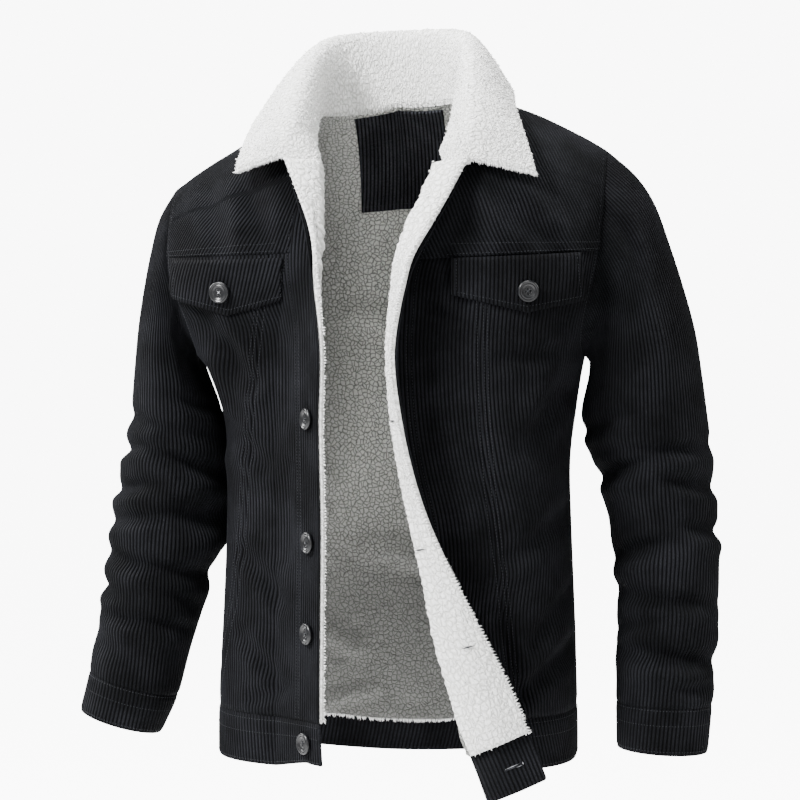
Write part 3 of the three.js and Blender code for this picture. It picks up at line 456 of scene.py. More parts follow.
def front_rows(side, rows):
    """Rows of a front as fine points from the side to the opening's edge.

    Even angles of the plan curve run from the side to where the band leaves the body, and a
    Catmull-Rom curve carries on through the fold and the swollen crest to the edge. Above the
    neck corner a row ends at the neckline, and its last points all lie there.
    """
    sign, table = SIGN[side], OPENING[side]
    rows = np.asarray(rows, float)
    level = row_height(np.full(len(rows), sign * 60.0), rows, side, True)
    is_open = level <= NECK_CORNER + 0.01
    key = np.minimum(level, NECK_CORNER)
    fold = np.stack([read(table, key, k) for k in (2, 3, 4)], -1)
    edge = np.stack([read(table, key, k) for k in (5, 6, 7)], -1)
    end_x = fold[:, 0] + sign * read(table, key, 1)
    if not is_open.all():
        corner = front_rows(side, [corner_row(side)])
        length = lengths_of(corner)
        start = along(corner, length, length[:, -1:] - BAND_WIDTH)[0, 0, 0]
        neck = read(BODY, SHOULDER_END, CENTRE) + sign * NECK_HALF
        top = float(row_height(np.array(sign * 60.0), np.array(3.0), side, True))
        above = mix(start, neck, (level - NECK_CORNER) / (top - NECK_CORNER))
        end_x = np.where(is_open, end_x, above)
    start_x = side_x(rows, side, True)
    z_start = row_height(start_x, rows, side, True)
    a = np.clip((start_x - read(BODY, z_start, CENTRE)) / (sign * read(BODY, z_start, HALF)), -1, 1)
    z_end = row_height(end_x, rows, side, True)
    b = (end_x - read(BODY, z_end, CENTRE)) / (sign * read(BODY, z_end, HALF))
    part = np.linspace(0, 1, PLAN_POINTS)
    reach = np.cos(mix(np.arccos(a)[:, None], np.arccos(b)[:, None], part))
    z = np.repeat(z_start[:, None], PLAN_POINTS, 1)
    for _ in range(3):
        x = read(BODY, z, CENTRE) + sign * read(BODY, z, HALF) * reach
        z = row_height(x, rows[:, None], side, True)
    points = leaned(x, depth_at(x, z, True), z)
    crest = mix(fold, edge, CREST_PART)
    crest[:, 1] -= CREST_RISE * np.maximum(0, sign * (edge[:, 0] - fold[:, 0]))
    course = np.stack([points[:, -4], points[:, -1], fold, crest, edge])
    band = through(course, 1 + np.arange(1, BAND_POINTS + 1) / 16).transpose(1, 0, 2)
    band = np.where(is_open[:, None, None], band, points[:, -1:, :])
    return np.concatenate([points, band], axis=1)


def back_rows(rows):
    """Rows of the back as fine points at even angles of the plan curve, right side to left side."""
    rows = np.asarray(rows, float)
    ends = []
    for side in ("right", "left"):
        x = side_x(rows, side, False)
        z = row_height(x, rows, side, False)
        ends.append((np.arccos(np.clip((x - read(BODY, z, CENTRE)) / read(BODY, z, HALF), -1, 1)), z))
    (a, za), (b, zb) = ends
    part = np.linspace(0, 1, 161)
    reach = np.cos(mix(a[:, None], b[:, None], part))
    z = mix(za[:, None], zb[:, None], part)
    for _ in range(5):
        x = read(BODY, z, CENTRE) + read(BODY, z, HALF) * reach
        z = row_height(x, rows[:, None], "left", False)
    return leaned(x, depth_at(x, z, False), z)


def armhole(side, angle):
    """The armhole at an angle from the shoulder (0) by the front (90) and armpit (180)."""
    up = (1 + np.cos(np.radians(angle))) / 2
    z = mix(ARMPIT, SHOULDER_END, up)
    yoke = YOKE[side]
    row = np.where(z < yoke, 1 + (z - ARMPIT) / (yoke - ARMPIT),
                   2 + (z - yoke) / (SHOULDER_END - yoke))
    out = np.empty(angle.shape + (3,))
    for front in (True, False):
        here = (angle <= 180) == front
        x = side_x(row[here], side, front)
        h = row_height(x, row[here], side, front)
        out[here] = leaned(x, depth_at(x, h, front), h)
    return out


def sleeve_rows(side, rings, angles):
    """Rings of a sleeve: ellipses between their outer and inner points, joined by Catmull-Rom curves."""
    table = SLEEVE[side]
    turn = np.mod(angles, 360)
    a = np.radians(turn)
    outer_x, outer_z, inner_x, inner_z, middle_y, half_y = (column[:, None] for column in table.T)
    x = (outer_x + inner_x) / 2 + (outer_x - inner_x) / 2 * np.cos(a)
    z = (outer_z + inner_z) / 2 + (outer_z - inner_z) / 2 * np.cos(a)
    y = middle_y - half_y * np.sin(a)
    points = np.concatenate([armhole(side, turn)[None], np.stack([x, y, z], -1)])
    return through(points, np.clip(rings, 0, len(points) - 1))


def normals_of(grid):
    """Unit normals of a grid: the cross product of its two differences."""
    across = np.gradient(grid, axis=1)
    down = np.gradient(grid, axis=0)
    flat = np.linalg.norm(across, axis=-1) < 1e-6
    n = unit(np.cross(across, down))
    if flat.any():
        good = np.argmax(flat, axis=1) - 1
        fill = n[np.arange(len(n)), np.where(flat.any(axis=1), np.maximum(good, 0), -1)]
        n = np.where(flat[..., None], fill[:, None, :], n)
    return n


def outward(points, normals, centre):
    """Normals turned so that those of the first columns point away from a centre."""
    away = points[:, :6] - centre
    return normals if (normals[:, :6] * away).sum() > 0 else -normals


def ring_normals(grid, centre):
    """Outward normals of rings whose last column repeats their first."""
    wrapped = np.concatenate([grid[:, -2:-1], grid, grid[:, 1:2]], axis=1)
    return outward(grid, normals_of(wrapped)[:, 1:-1], centre)


def closed(fine, coarse, fine_map, coarse_map, ratio, uv):
    """A closed wall between a fine grid and one with a ratio-th of its columns.

    Both grids have the same rows. The maps give, for each row, the columns that its two ends
    clamp to, so that ribs run straight into an oblique seam and no face is stretched there.
    """
    rows, cols = fine.shape[:2]
    less = coarse.shape[1]
    at_fine = np.arange(rows)[:, None] * cols + fine_map
    at_coarse = rows * cols + np.arange(rows)[:, None] * less + coarse_map
    a, b, c, d = at_fine[:-1, :-1], at_fine[:-1, 1:], at_fine[1:, 1:], at_fine[1:, :-1]
    e, f, g, h = at_coarse[:-1, :-1], at_coarse[:-1, 1:], at_coarse[1:, 1:], at_coarse[1:, :-1]
    faces = [np.stack(t, -1).reshape(-1, 3) for t in
             ((a, b, c), (a, c, d), (e, g, f), (e, h, g))]
    for line, flip in ((0, 1), (rows - 1, -1)):
        near, far = at_fine[line], at_coarse[line]
        cell = np.arange(cols - 1) // ratio
        first = np.stack([near[:-1], far[cell], near[1:]], -1)
        last = near[ratio::ratio][:less - 1]
        second = np.stack([far[:-1], far[1:], last], -1)
        faces += [first[:, ::flip], second[:, ::flip]]
    for end, flip in ((0, 1), (-1, -1)):
        s, t = at_fine[:-1, end], at_fine[1:, end]
        v, w = at_coarse[:-1, end], at_coarse[1:, end]
        faces += [np.stack([s, t, w], -1)[:, ::flip], np.stack([s, w, v], -1)[:, ::flip]]
    faces = np.concatenate(faces)
    whole = (faces[:, 0] != faces[:, 1]) & (faces[:, 1] != faces[:, 2]) & (faces[:, 2] != faces[:, 0])
    faces = faces[whole]
    points = np.concatenate([fine.reshape(-1, 3), coarse.reshape(-1, 3)])
    a, b, c = (points[faces[:, k]] for k in range(3))
    if (a * np.cross(b, c)).sum() < 0:
        faces = faces[:, ::-1]
    used, faces = np.unique(faces, return_inverse=True)
    return points[used], faces.reshape(-1, 3), uv[used]


def folded(grid, normals, marks, fade=1.0):
    """A grid pressed in along marks.

    Each is a straight trough, a Gaussian of the distance from it in x and z, with a low swell beside it.
    """
    place = grid[..., ::2]
    total = np.zeros(grid.shape[:2])
    for x0, z0, x1, z1, width, depth in marks:
        start, run = np.array([x0, z0]), np.array([x1 - x0, z1 - z0])
        t = np.clip(((place - start) @ run) / (run @ run), 0, 1)
        away = np.linalg.norm(place - start - t[..., None] * run, axis=-1) / width
        swell = 0.35 * np.exp(-((away - 1.7) / 0.8) ** 2)
        total += FOLD_GAIN * depth * (0.55 + 0.9 * t * (1 - t)) * (np.exp(-away ** 2) - swell)
    return grid - normals * (total * fade)[..., None]


def creased(grid, marks, fade, plain):
    """A body grid folded along marks, with its outward normals: with plain, those before the folds."""
    spine = grid[:, :1] * (0, 0, 1)
    normal = outward(grid, normals_of(grid), spine)
    grid = folded(grid, normal, marks, fade)
    return grid, normal if plain else outward(grid, normals_of(grid), spine)


def clamp_map(u, low, high):
    """Column index that each column stands for, once the ends of each row are clamped."""
    index = np.arange(len(u))
    first = np.maximum(np.searchsorted(u, low, side="right") - 1, 0)
    last = np.minimum(np.searchsorted(u, high, side="left"), len(u) - 1)
    return np.clip(index[None, :], first[:, None], last[:, None])


def rib_height(u):
    """Height of a corduroy rib: the root of a cosine, so tops are round and grooves are sharp."""
    return np.abs(np.cos(np.pi * u / WALE)) ** 0.7


def cut_of(climb, low, high):
    """Greatest width, length and area of a piece laid flat, in millimetres, from its rows."""
    width = high - low
    area = ((width[1:] + width[:-1]) / 2 * np.diff(climb)).sum()
    return width.max(), climb[-1], area


def cloth(base, normals, along_u, low, high, thickness, rib=RIB, lean=0.0, lift=0.0, seams=()):
    """A closed corduroy wall whose columns run along its ribs.

    base and normals are fine rows, along_u their running lengths. low and high are where each
    row of the piece ends, lean moves the ribs sideways as they climb, and lift raises the face.
    Each of the seams is its z, its x, a depth and a half width: a furrow, a Gaussian across it.
    """
    climb = running(base[:, base.shape[1] // 2])
    move = lean * climb
    first = math.floor((low - move).min() / WALE)
    count = math.ceil((high - move).max() / WALE) - first
    u = (first + np.arange(count * STEPS + 1) / STEPS) * WALE
    places = u[None, :] + move[:, None]
    fine_u = np.clip(places, low[:, None], high[:, None])
    coarse_u = fine_u[:, ::STEPS]
    fine_n = unit(along(normals, along_u, fine_u))
    edge = np.minimum(fine_u - low[:, None], high[:, None] - fine_u)
    height = rib * (rib_height(fine_u - move[:, None]) - 0.5) * smooth(edge, 0.0, 2.0)
    rise = np.minimum(climb, climb[-1] - climb)[:, None]
    height = height * smooth(rise, -1.0, 2.5)
    height -= 0.6 * (1 - smooth(np.minimum(edge, rise), 0.0, 2.2))
    on_base = along(base, along_u, fine_u)
    for seam_z, seam_x, deep, wide in seams:
        away = on_base[..., 0] - np.interp(on_base[..., 2], seam_z, seam_x)
        height -= deep * np.exp(-(away / wide) ** 2)
    fine = on_base + fine_n * (height + lift)[..., None]
    inner = along(base, along_u, coarse_u) - fine_n[:, ::STEPS] * (thickness - lift)
    maps = [clamp_map(at, low - move, high - move) for at in (places[0] - move[0], u[::STEPS])]
    v = np.broadcast_to(climb[:, None], fine_u.shape)
    uv = np.concatenate([
        np.stack([fine_u - move[:, None], v], -1).reshape(-1, 2),
        np.stack([coarse_u, v[:, ::STEPS]], -1).reshape(-1, 2),
    ])
    return closed(fine, inner, *maps, STEPS, uv) + (cut_of(climb, low, high),)


def furrows(u, v, cell, seed):
    """How far a place is from the line between its two nearest jittered points, in cell widths."""
    jitter = np.random.default_rng(seed).random((64, 64, 2))
    a, b = u / cell, v / cell
    i, j = np.floor(a).astype(int), np.floor(b).astype(int)
    first, second = np.full(a.shape, 9.0), np.full(a.shape, 9.0)
    for di in (-1, 0, 1):
        for dj in (-1, 0, 1):
            spot = jitter[(i + di) % 64, (j + dj) % 64]
            away = np.hypot(i + di + spot[..., 0] - a, j + dj + spot[..., 1] - b)
            second = np.minimum(second, np.maximum(first, away))
            first = np.minimum(first, away)
    return second - first


def curls(u, v, seed, cell=7.0, stretch=1.0):
    """Relief of curly pile, 0 to 1: rounded cells with furrows between them, bent by slow waves."""
    bent_u = u + 2.2 * np.sin(v * 0.21 + seed) + 1.1 * np.sin(v * 0.57 + u * 0.2)
    bent_v = (v + 2.2 * np.sin(u * 0.19 + 2 * seed) + 1.0 * np.sin(u * 0.61 - v * 0.15)) / stretch
    large = smooth(furrows(bent_u, bent_v, cell, seed), 0.0, 0.5)
    small = smooth(furrows(bent_u + 3, bent_v - 5, cell * 0.45, seed + 1), 0.0, 0.6)
    return 0.7 * large + 0.3 * small


def pile(base, normals, along_u, low, high, depth, thickness, pitch, curl, seed, edge_round=3.0):
    """A closed wall of curly pile behind a cloth, with its lumps on the wearer's side.

    Each edge is rounded as half an ellipse of edge_round, so that two piles meet in a soft furrow.
    """
    climb = running(base[:, base.shape[1] // 2])
    first = math.floor(low.min() / pitch / STEPS)
    count = math.ceil(high.max() / pitch / STEPS) - first
    u = (first * STEPS + np.arange(count * STEPS + 1)) * pitch
    fine_u = np.clip(u[None, :], low[:, None], high[:, None])
    coarse_u = fine_u[:, ::STEPS]
    n = unit(along(normals, along_u, fine_u))
    edge = np.minimum(fine_u - low[:, None], high[:, None] - fine_u)
    rise = np.minimum(climb, climb[-1] - climb)[:, None]
    near = np.clip(np.minimum(edge, rise) / edge_round, 0, 1)
    full = 0.35 + 0.65 * np.sqrt(1 - (1 - near) ** 2)
    v = np.broadcast_to(climb[:, None], fine_u.shape)
    lumps = curl * (curls(fine_u, v, seed) - 0.45)
    depth = np.reshape(depth, (-1, 1))
    inner = along(base, along_u, fine_u) - n * (depth + thickness * full + lumps * near)[..., None]
    outer = along(base, along_u, coarse_u) - n[:, ::STEPS] * depth[..., None]
    uv = np.concatenate([
        np.stack([fine_u, v], -1).reshape(-1, 2),
        np.stack([coarse_u, v[:, ::STEPS]], -1).reshape(-1, 2),
    ])
    maps = [clamp_map(u, low, high), clamp_map(u[::STEPS], low, high)]
    return closed(inner, outer, *maps, STEPS, uv) + (cut_of(climb, low, high),)


def joined(shells):
    """Several shells as one set of points, faces and UV places."""
    points, faces, uvs, start = [], [], [], 0
    for p, f, w in shells:
        points.append(p)
        faces.append(f + start)
        uvs.append(w)
        start += len(p)
    return np.concatenate(points), np.concatenate(faces), np.concatenate(uvs)


def piece(name, shell, material, nodes=()):
    """An object from points in millimetres, triangles and UV places in millimetres.

    A shell of cloth also has its cut: width, length and area.
    """
    points, faces, uv = shell[:3]
    mesh = bpy.data.meshes.new(name)
    mesh.vertices.add(len(points))
    mesh.vertices.foreach_set("co", metre(points).ravel())
    mesh.loops.add(faces.size)
    mesh.loops.foreach_set("vertex_index", faces.ravel().astype(np.int32))
    mesh.polygons.add(len(faces))
    mesh.polygons.foreach_set("loop_start", np.arange(0, faces.size, 3, dtype=np.int32))
    mesh.polygons.foreach_set("use_smooth", np.ones(len(faces), bool))
    mesh.update(calc_edges=True)
    layer = mesh.uv_layers.new(name="cloth")
    layer.data.foreach_set("uv", (uv[faces.ravel()] * 0.001).ravel())
    mesh.materials.append(material)
    mesh.validate()
    thing = bpy.data.objects.new(name, mesh)
    bpy.context.scene.collection.objects.link(thing)
    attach(thing, "root")
    if nodes:
        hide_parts(*nodes)
    if len(shell) > 3:
        width, length, area = shell[3]
        area = min(area, width * length)


def corduroy(name, shell):
    """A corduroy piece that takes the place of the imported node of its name."""
    piece(f"{name}_corduroy", shell, CORDUROY_CLOTH, [name])


def sherpa(name, shell, material):
    """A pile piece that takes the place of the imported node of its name."""
    piece(f"{name}_sherpa", shell, material, [name])


def linear(hex_code):
    """An sRGB hex colour as linear red, green, blue and alpha."""
    parts = [int(hex_code[i:i + 2], 16) / 255 for i in (1, 3, 5)]
    return [c / 12.92 if c <= 0.04045 else ((c + 0.055) / 1.055) ** 2.4 for c in parts] + [1.0]


def node(tree, kind, settings=(), **inputs):
    """Adds a node. settings are its own properties, and inputs are values or sockets to link."""
    made = tree.nodes.new(kind)
    for key, value in dict(settings).items():
        setattr(made, key, value)
    for key, value in inputs.items():
        socket = made.inputs[int(key[1:]) if key[1:].isdigit() else key.replace("_", " ")]
        if isinstance(value, bpy.types.NodeSocket):
            tree.links.new(value, socket)
        else:
            socket.default_value = value
    return made


def maths(tree, operation, *values):
    """The result of a Math node."""
    inputs = {f"i{k}": value for k, value in enumerate(values)}
    return node(tree, "ShaderNodeMath", {"operation": operation}, **inputs).outputs[0]


def ranged(tree, value, low, high, to_low, to_high, way="LINEAR"):
    """A value mapped from one range to another and held at its ends."""
    return node(tree, "ShaderNodeMapRange", {"interpolation_type": way}, Value=value,
                i1=low, i2=high, i3=to_low, i4=to_high).outputs[0]


def blend(tree, factor, first, second):
    """A colour part of the way from the first to the second."""
    return node(tree, "ShaderNodeMix", {"data_type": "RGBA"}, Factor=factor, i6=first, i7=second).outputs[2]


def surface(name, **inputs):
    """A new material with its Principled shader, and constant values on the shader's sockets."""
    material = bpy.data.materials.new(name)
    material.use_nodes = True
    tree = material.node_tree
    shader = tree.nodes["Principled BSDF"]
    for key, value in inputs.items():
        shader.inputs[key.replace("_", " ")].default_value = value
    return material, tree, shader


def corduroy_material(name, top_hex, top_worn_hex):
    """Cotton corduroy dyed black: cut pile on ribs, with a soft grey sheen on their tops, and grooves
    darkened with painted shade.
    """
    material, tree, shader = surface(
        name, Roughness=0.8, Specular_IOR_Level=0.05,
        Sheen_Weight=0.012, Sheen_Roughness=0.4, Sheen_Tint=linear("#b4b8c8"),
    )
    place = node(tree, "ShaderNodeUVMap", {"uv_map": "cloth"}).outputs[0]
    object_place = node(tree, "ShaderNodeTexCoord").outputs["Object"]
    across = node(tree, "ShaderNodeSeparateXYZ", Vector=place).outputs[0]
    turns = maths(tree, "MULTIPLY", across, math.pi / (WALE * 0.001))
    rib = maths(tree, "ABSOLUTE", maths(tree, "COSINE", turns))
    # Nap: tufts about 1 mm long on each rib, drawn as noise stretched along it
    stretched = node(tree, "ShaderNodeMapping", i1=(0, 0, 0), i3=(1300, 520, 1), Vector=place)
    nap = node(tree, "ShaderNodeTexNoise", {"noise_dimensions": "2D"}, Vector=stretched.outputs[0],
               Scale=1.0, Detail=3.0, Roughness=0.7)
    nap_level = ranged(tree, nap.outputs[0], 0.3, 0.7, 0.0, 1.0)
    # Handling brushes the pile into patches 15 to 60 mm wide that reflect a little more
    patches = node(tree, "ShaderNodeTexNoise", Vector=object_place, Scale=16.0, Detail=5.0, Roughness=0.6)
    worn = ranged(tree, patches.outputs[0], 0.4, 0.68, 0.0, 1.0)
    # Painted shade: the grooves between the ribs are coloured darker than the rib tops
    groove_shade = ranged(tree, rib, 0.25, 0.95, 0.0, 1.0)
    level = maths(tree, "MULTIPLY", maths(tree, "MULTIPLY_ADD", nap_level, 0.75, 0.25), groove_shade)
    dark = blend(tree, level, linear(GROOVE_SHADE_HEX), linear(top_hex))
    light = blend(tree, level, linear(WORN_GROOVE_SHADE_HEX), linear(top_worn_hex))
    tree.links.new(blend(tree, worn, dark, light), shader.inputs["Base Color"])
    fluff = maths(tree, "MULTIPLY_ADD", rib, 0.6, level)
    bump = node(tree, "ShaderNodeBump", Strength=0.85, Distance=0.0009, Height=fluff)
    tree.links.new(bump.outputs[0], shader.inputs["Normal"])
    return material


def sherpa_material(name, cell, furrow, shade_hex, light_hex, stretch=1.0, depth=0.0014, hem=1.0):
    """Polyester sherpa: matt curled pile that scatters light, with its shade in the furrows between curls.

    cell is the width of one curl in millimetres, and furrow how wide its dark line is, in cell widths.
    hem is the share of its colour left towards the hem, and twice that share is left behind the right
    placket: shade that the photograph has there, painted in because the lamps don't make it.
    """
    material, tree, shader = surface(
        name, Roughness=1.0, Specular_IOR_Level=0.1,
        Sheen_Weight=0.2, Sheen_Roughness=0.7, Sheen_Tint=linear("#ffffff"),
    )
    place = node(tree, "ShaderNodeUVMap", {"uv_map": "cloth"}).outputs[0]
    fibres = node(tree, "ShaderNodeTexNoise", {"noise_dimensions": "2D"}, Vector=place, Scale=1100.0,
                  Detail=3.0, Roughness=0.7)
    warp = node(tree, "ShaderNodeTexNoise", {"noise_dimensions": "2D"}, Vector=place, Scale=150.0,
                Detail=1.5, Roughness=0.5)
    shift = node(tree, "ShaderNodeVectorMath", {"operation": "MULTIPLY_ADD"}, i0=warp.outputs[1],
                 i1=(cell * 0.0009, cell * 0.0009, 0), i2=place)
    pressed = node(tree, "ShaderNodeMapping", i3=(1, 1 / stretch, 1), Vector=shift.outputs[0])
    cells = node(tree, "ShaderNodeTexVoronoi", {"feature": "DISTANCE_TO_EDGE", "voronoi_dimensions": "2D"},
                 Vector=pressed.outputs[0], Scale=1000.0 / cell, Randomness=1.0)
    small = node(tree, "ShaderNodeTexVoronoi", {"feature": "DISTANCE_TO_EDGE", "voronoi_dimensions": "2D"},
                 Vector=shift.outputs[0], Scale=2400.0 / cell, Randomness=1.0)
    line = ranged(tree, cells.outputs[0], 0.0, furrow, 0.0, 1.0, "SMOOTHSTEP")
    fine = ranged(tree, small.outputs[0], 0.0, furrow, 0.8, 1.0, "SMOOTHSTEP")
    dome = ranged(tree, cells.outputs[0], 0.0, 0.4, 0.7, 1.0)
    both = maths(tree, "MULTIPLY", line, maths(tree, "MULTIPLY", dome, fine))
    level = maths(tree, "MULTIPLY", both, ranged(tree, fibres.outputs[0], 0.3, 0.7, 0.7, 1.0))
    colour = blend(tree, level, linear(shade_hex), linear(light_hex))
    if hem < 1.0:
        body = node(tree, "ShaderNodeTexCoord").outputs["Object"]
        spot = node(tree, "ShaderNodeSeparateXYZ", Vector=body)
        low = ranged(tree, spot.outputs["Z"], -0.53, -0.29, hem, 1.0, "SMOOTHSTEP")
        beside = ranged(tree, spot.outputs["X"], -0.095, -0.035, 2 * hem, 1.0)
        colour = blend(tree, maths(tree, "MINIMUM", low, beside), linear("#3a3b38"), colour)
    tree.links.new(colour, shader.inputs["Base Color"])
    bump = node(tree, "ShaderNodeBump", Strength=0.7, Distance=depth, Height=level)
    tree.links.new(bump.outputs[0], shader.inputs["Normal"])
    return material


def button_material():
    """Cast polyester resin buttons: near black, glossy, with faint clouds from the casting."""
    material, tree, shader = surface("black_polyester_resin", Roughness=0.3, IOR=1.45)
    place = node(tree, "ShaderNodeTexCoord").outputs["Object"]
    clouds = node(tree, "ShaderNodeTexNoise", Vector=place, Scale=160.0, Detail=3.0)
    colour = blend(tree, clouds.outputs[0], linear("#050506"), linear("#101114"))
    tree.links.new(colour, shader.inputs["Base Color"])
    return material


def thread_material(name, dark_hex, light_hex):
    """Spun polyester thread, two plies twisted: a dull shine on a fine mottle."""
    material, tree, shader = surface(name, Roughness=0.6, Specular_IOR_Level=0.3)
    place = node(tree, "ShaderNodeTexCoord").outputs["Object"]
    plies = node(tree, "ShaderNodeTexNoise", Vector=place, Scale=700.0, Detail=2.0)
    colour = blend(tree, plies.outputs[0], linear(dark_hex), linear(light_hex))
    tree.links.new(colour, shader.inputs["Base Color"])
    return material


def fibre_material():
    """Loose tufts of the same polyester pile: plain near white, soft all through."""
    material, tree, shader = surface("white_sherpa_tufts", Roughness=1.0, Specular_IOR_Level=0.1,
                                     Sheen_Weight=0.2, Sheen_Roughness=0.7, Sheen_Tint=linear("#ffffff"))
    place = node(tree, "ShaderNodeTexCoord").outputs["Object"]
    locks = node(tree, "ShaderNodeTexNoise", Vector=place, Scale=420.0, Detail=2.0)
    colour = blend(tree, locks.outputs[0], linear("#d9d8d4"), linear("#ffffff"))
    tree.links.new(colour, shader.inputs["Base Color"])
    return material


# Colours of the rib tops, and the darker groove colours that paint shade into the grooves
GROOVE_SHADE_HEX, TOP_HEX = "#010101", "#0f1013"
WORN_GROOVE_SHADE_HEX, TOP_WORN_HEX = "#020203", "#232428"
PATCH_TOP_HEX, PATCH_WORN_HEX = "#3c3d42", "#56585e"
CORDUROY_CLOTH = corduroy_material("black_cotton_corduroy", TOP_HEX, TOP_WORN_HEX)
# The same cloth with paler ribs: the photograph shows the patch lighter than the lamps here would
PATCH_CLOTH = corduroy_material("black_cotton_corduroy_patch", PATCH_TOP_HEX, PATCH_WORN_HEX)
LINING_PILE = sherpa_material("white_sherpa_pile_lining", 4.4, 0.17, "#74766f", "#fffffa", 1.0, 0.002, 0.16)
COLLAR_PILE = sherpa_material("white_sherpa_pile_brushed", 4.2, 0.25, "#c2c2be", "#fefefd", 1.6, 0.0022)
TUFTS = fibre_material()
RESIN = button_material()
THREAD = thread_material("black_polyester_thread", "#08090a", "#2c2e34")
PALE_THREAD = thread_material("grey_polyester_thread", "#6a6c70", "#c4c6ca")

# Pieces overlap by half a millimetre on each side of a seam, and rows stop just short of cross seams
OVERLAP = 0.5
HEM_STEP = 0.0005
SEAM_STEP = 0.0014

# Millimetres from the yoke seam to the shoulder, in front and behind
YOKE_RISE = 115
BACK_YOKE_RISE = 100


def panel_rows(start, end, step):
    """Even rows from a start to an end, about step millimetres of a 360 mm panel apart."""
    return np.linspace(start, end, max(2, round(abs(end - start) / step) + 1))


def crest_rows(count, start=2.0):
    """Rows from the yoke seam up: 3 - t^2 with t even, so that they crowd where the cloth turns over."""
    return 3 - np.linspace(math.sqrt(3 - start), 0.001, count) ** 2


LOWER = panel_rows(0, 1, 0.02)
ARMHOLE = panel_rows(1, 2, 0.06)
# Rows of the back lining that hang past the waist seam
LINING_TAIL = np.array([-0.24, -0.2, -0.15, -0.08])


def body_rows(step, upper_step, *above):
    """Rows of a lining or facing from the waist seam to the yoke seam, and the rows above it."""
    return np.concatenate([panel_rows(0, 1, step)[:-1], panel_rows(1, 2, upper_step)[:-1], *above])


def front_base(side, rows, plain=False):
    """Fine rows of a front with their creases, normals and distances, counted from the band seam.

    plain gives the normals of the uncreased front, along which a pile can lie behind its cloth.
    """
    grid = front_rows(side, rows)
    length = lengths_of(grid)
    total = length[:, -1]
    is_open = rows <= corner_row(side) + 1e-6
    seam = np.where(is_open, total - BAND_WIDTH, total)
    fade = smooth(length, 2, 28) * smooth(seam[:, None] - length, 3, 24)
    grid, normal = creased(grid, FOLDS[side], fade, plain)
    return grid, normal, length - seam[:, None], -seam, total - seam


def facing_depth(rows):
    """How far a facing lies behind the cloth: deeper from just below the yoke seam."""
    return FACING_DEPTH + FACING_DEEPER * smooth(rows, 1.7, 2.1)


def facing_start(side, rows):
    """Where the facing begins on each row: on the left it widens towards the hem, past the band's seam."""
    return np.zeros(len(rows)) if side == "right" else -21 * (1 - smooth(rows, 0.12, 0.75))


def build_fronts():
    for side in ("right", "left"):
        lower = np.concatenate([LOWER[:-1], ARMHOLE])
        lower[0] += HEM_STEP
        lower[-1] -= SEAM_STEP
        grid, normal, u, low, high = front_base(side, lower)
        seam_z, seam_x = (np.array(values, float) for values in SHAPED_SEAMS[side])
        seams = [(seam_z, seam_x + SIGN[side] * off, deep, wide) for off, deep, wide in SEAM_FURROWS]
        end = np.full(len(lower), OVERLAP)
        corduroy(f"front_{side}", cloth(grid, normal, u, low - OVERLAP, end, CORDUROY, seams=seams))

        # More rows where the yoke's stitches and the flap's fold lie
        close = 2 + np.array([0.6, 1.2, 2, 2.8, 7, 8, 9, 10, 11]) / YOKE_RISE
        upper = np.unique(np.concatenate([crest_rows(34), close]))
        upper[0] -= SEAM_STEP * 4
        grid, normal, u, low, high = front_base(side, upper)
        # Distances start 120 mm out from the middle, so that the leaning wales stay even there
        fixed = np.array([np.interp(120, np.abs(g[:PLAN_POINTS, 0][::-1]), row[:PLAN_POINTS][::-1])
                          for g, row in zip(grid, u)])
        shell = cloth(grid, normal, u - fixed[:, None], low - fixed - OVERLAP, OVERLAP - fixed, CORDUROY,
                      lean=0.42, lift=0.35)
        corduroy(f"yoke_{side}", shell)

        corner = corner_row(side)
        band = np.concatenate([LOWER[:-1], ARMHOLE[:-1], panel_rows(2, corner, 0.04)])
        band[0] += HEM_STEP
        grid, normal, u, low, high = front_base(side, band)
        corduroy(f"placket_{side}", cloth(grid, normal, u, low * 0 - OVERLAP, high, CORDUROY))

        fine = body_rows(0.0055, 0.02, panel_rows(2, corner, 0.02))
        fine[0] += HEM_STEP
        grid, normal, u, low, high = front_base(side, fine, plain=True)
        start, depth = facing_start(side, fine), facing_depth(fine)
        sherpa(f"facing_{side}", pile(grid, normal, u, start, high, depth, SHERPA, 2.0, 1.6, 5), COLLAR_PILE)

        fine = body_rows(0.0085, 0.03, crest_rows(60))
        fine[0] += HEM_STEP
        grid, normal, u, low, high = front_base(side, fine, plain=True)
        start = low + np.where(fine > 0.95, 14.0, -1.0)
        end = facing_start(side, fine) + 1
        depth = np.full(len(fine), LINING_DEPTH)
        shell = pile(grid, normal, u, start, end, depth, LINING_PILE_HEIGHT, 3.8, 1.8, 9)
        sherpa(f"lining_{side}", shell, LINING_PILE)


def back_base(rows, plain=False):
    """Fine rows of the back with normals and distances, counted from its middle."""
    grid = back_rows(rows)
    length = lengths_of(grid)
    middle = grid.shape[1] // 2
    u = length - length[:, middle:middle + 1]
    fade = smooth(np.minimum(length, length[:, -1:] - length), 2, 28)
    grid, normal = creased(grid, FOLDS["back"], fade, plain)
    return grid, normal, u, u[:, 0], u[:, -1]


def build_back():
    rows = np.concatenate([LOWER[:-1], ARMHOLE[:-1], crest_rows(34)])
    rows[0] += HEM_STEP
    grid, normal, u, low, high = back_base(rows)
    corduroy("back", cloth(grid, normal, u, low - OVERLAP, high + OVERLAP, CORDUROY))
    fine = np.concatenate([LINING_TAIL, body_rows(0.0072, 0.025, crest_rows(60))])
    grid, normal, u, low, high = back_base(fine, plain=True)
    off = np.where(fine > 0.95, 26.0, -1.0)
    depth = np.full(len(fine), LINING_DEPTH)
    shell = pile(grid, normal, u, low + off, high - off, depth, LINING_PILE_HEIGHT, 3.4, 2.2, 3)
    sherpa("lining_back", shell, LINING_PILE)


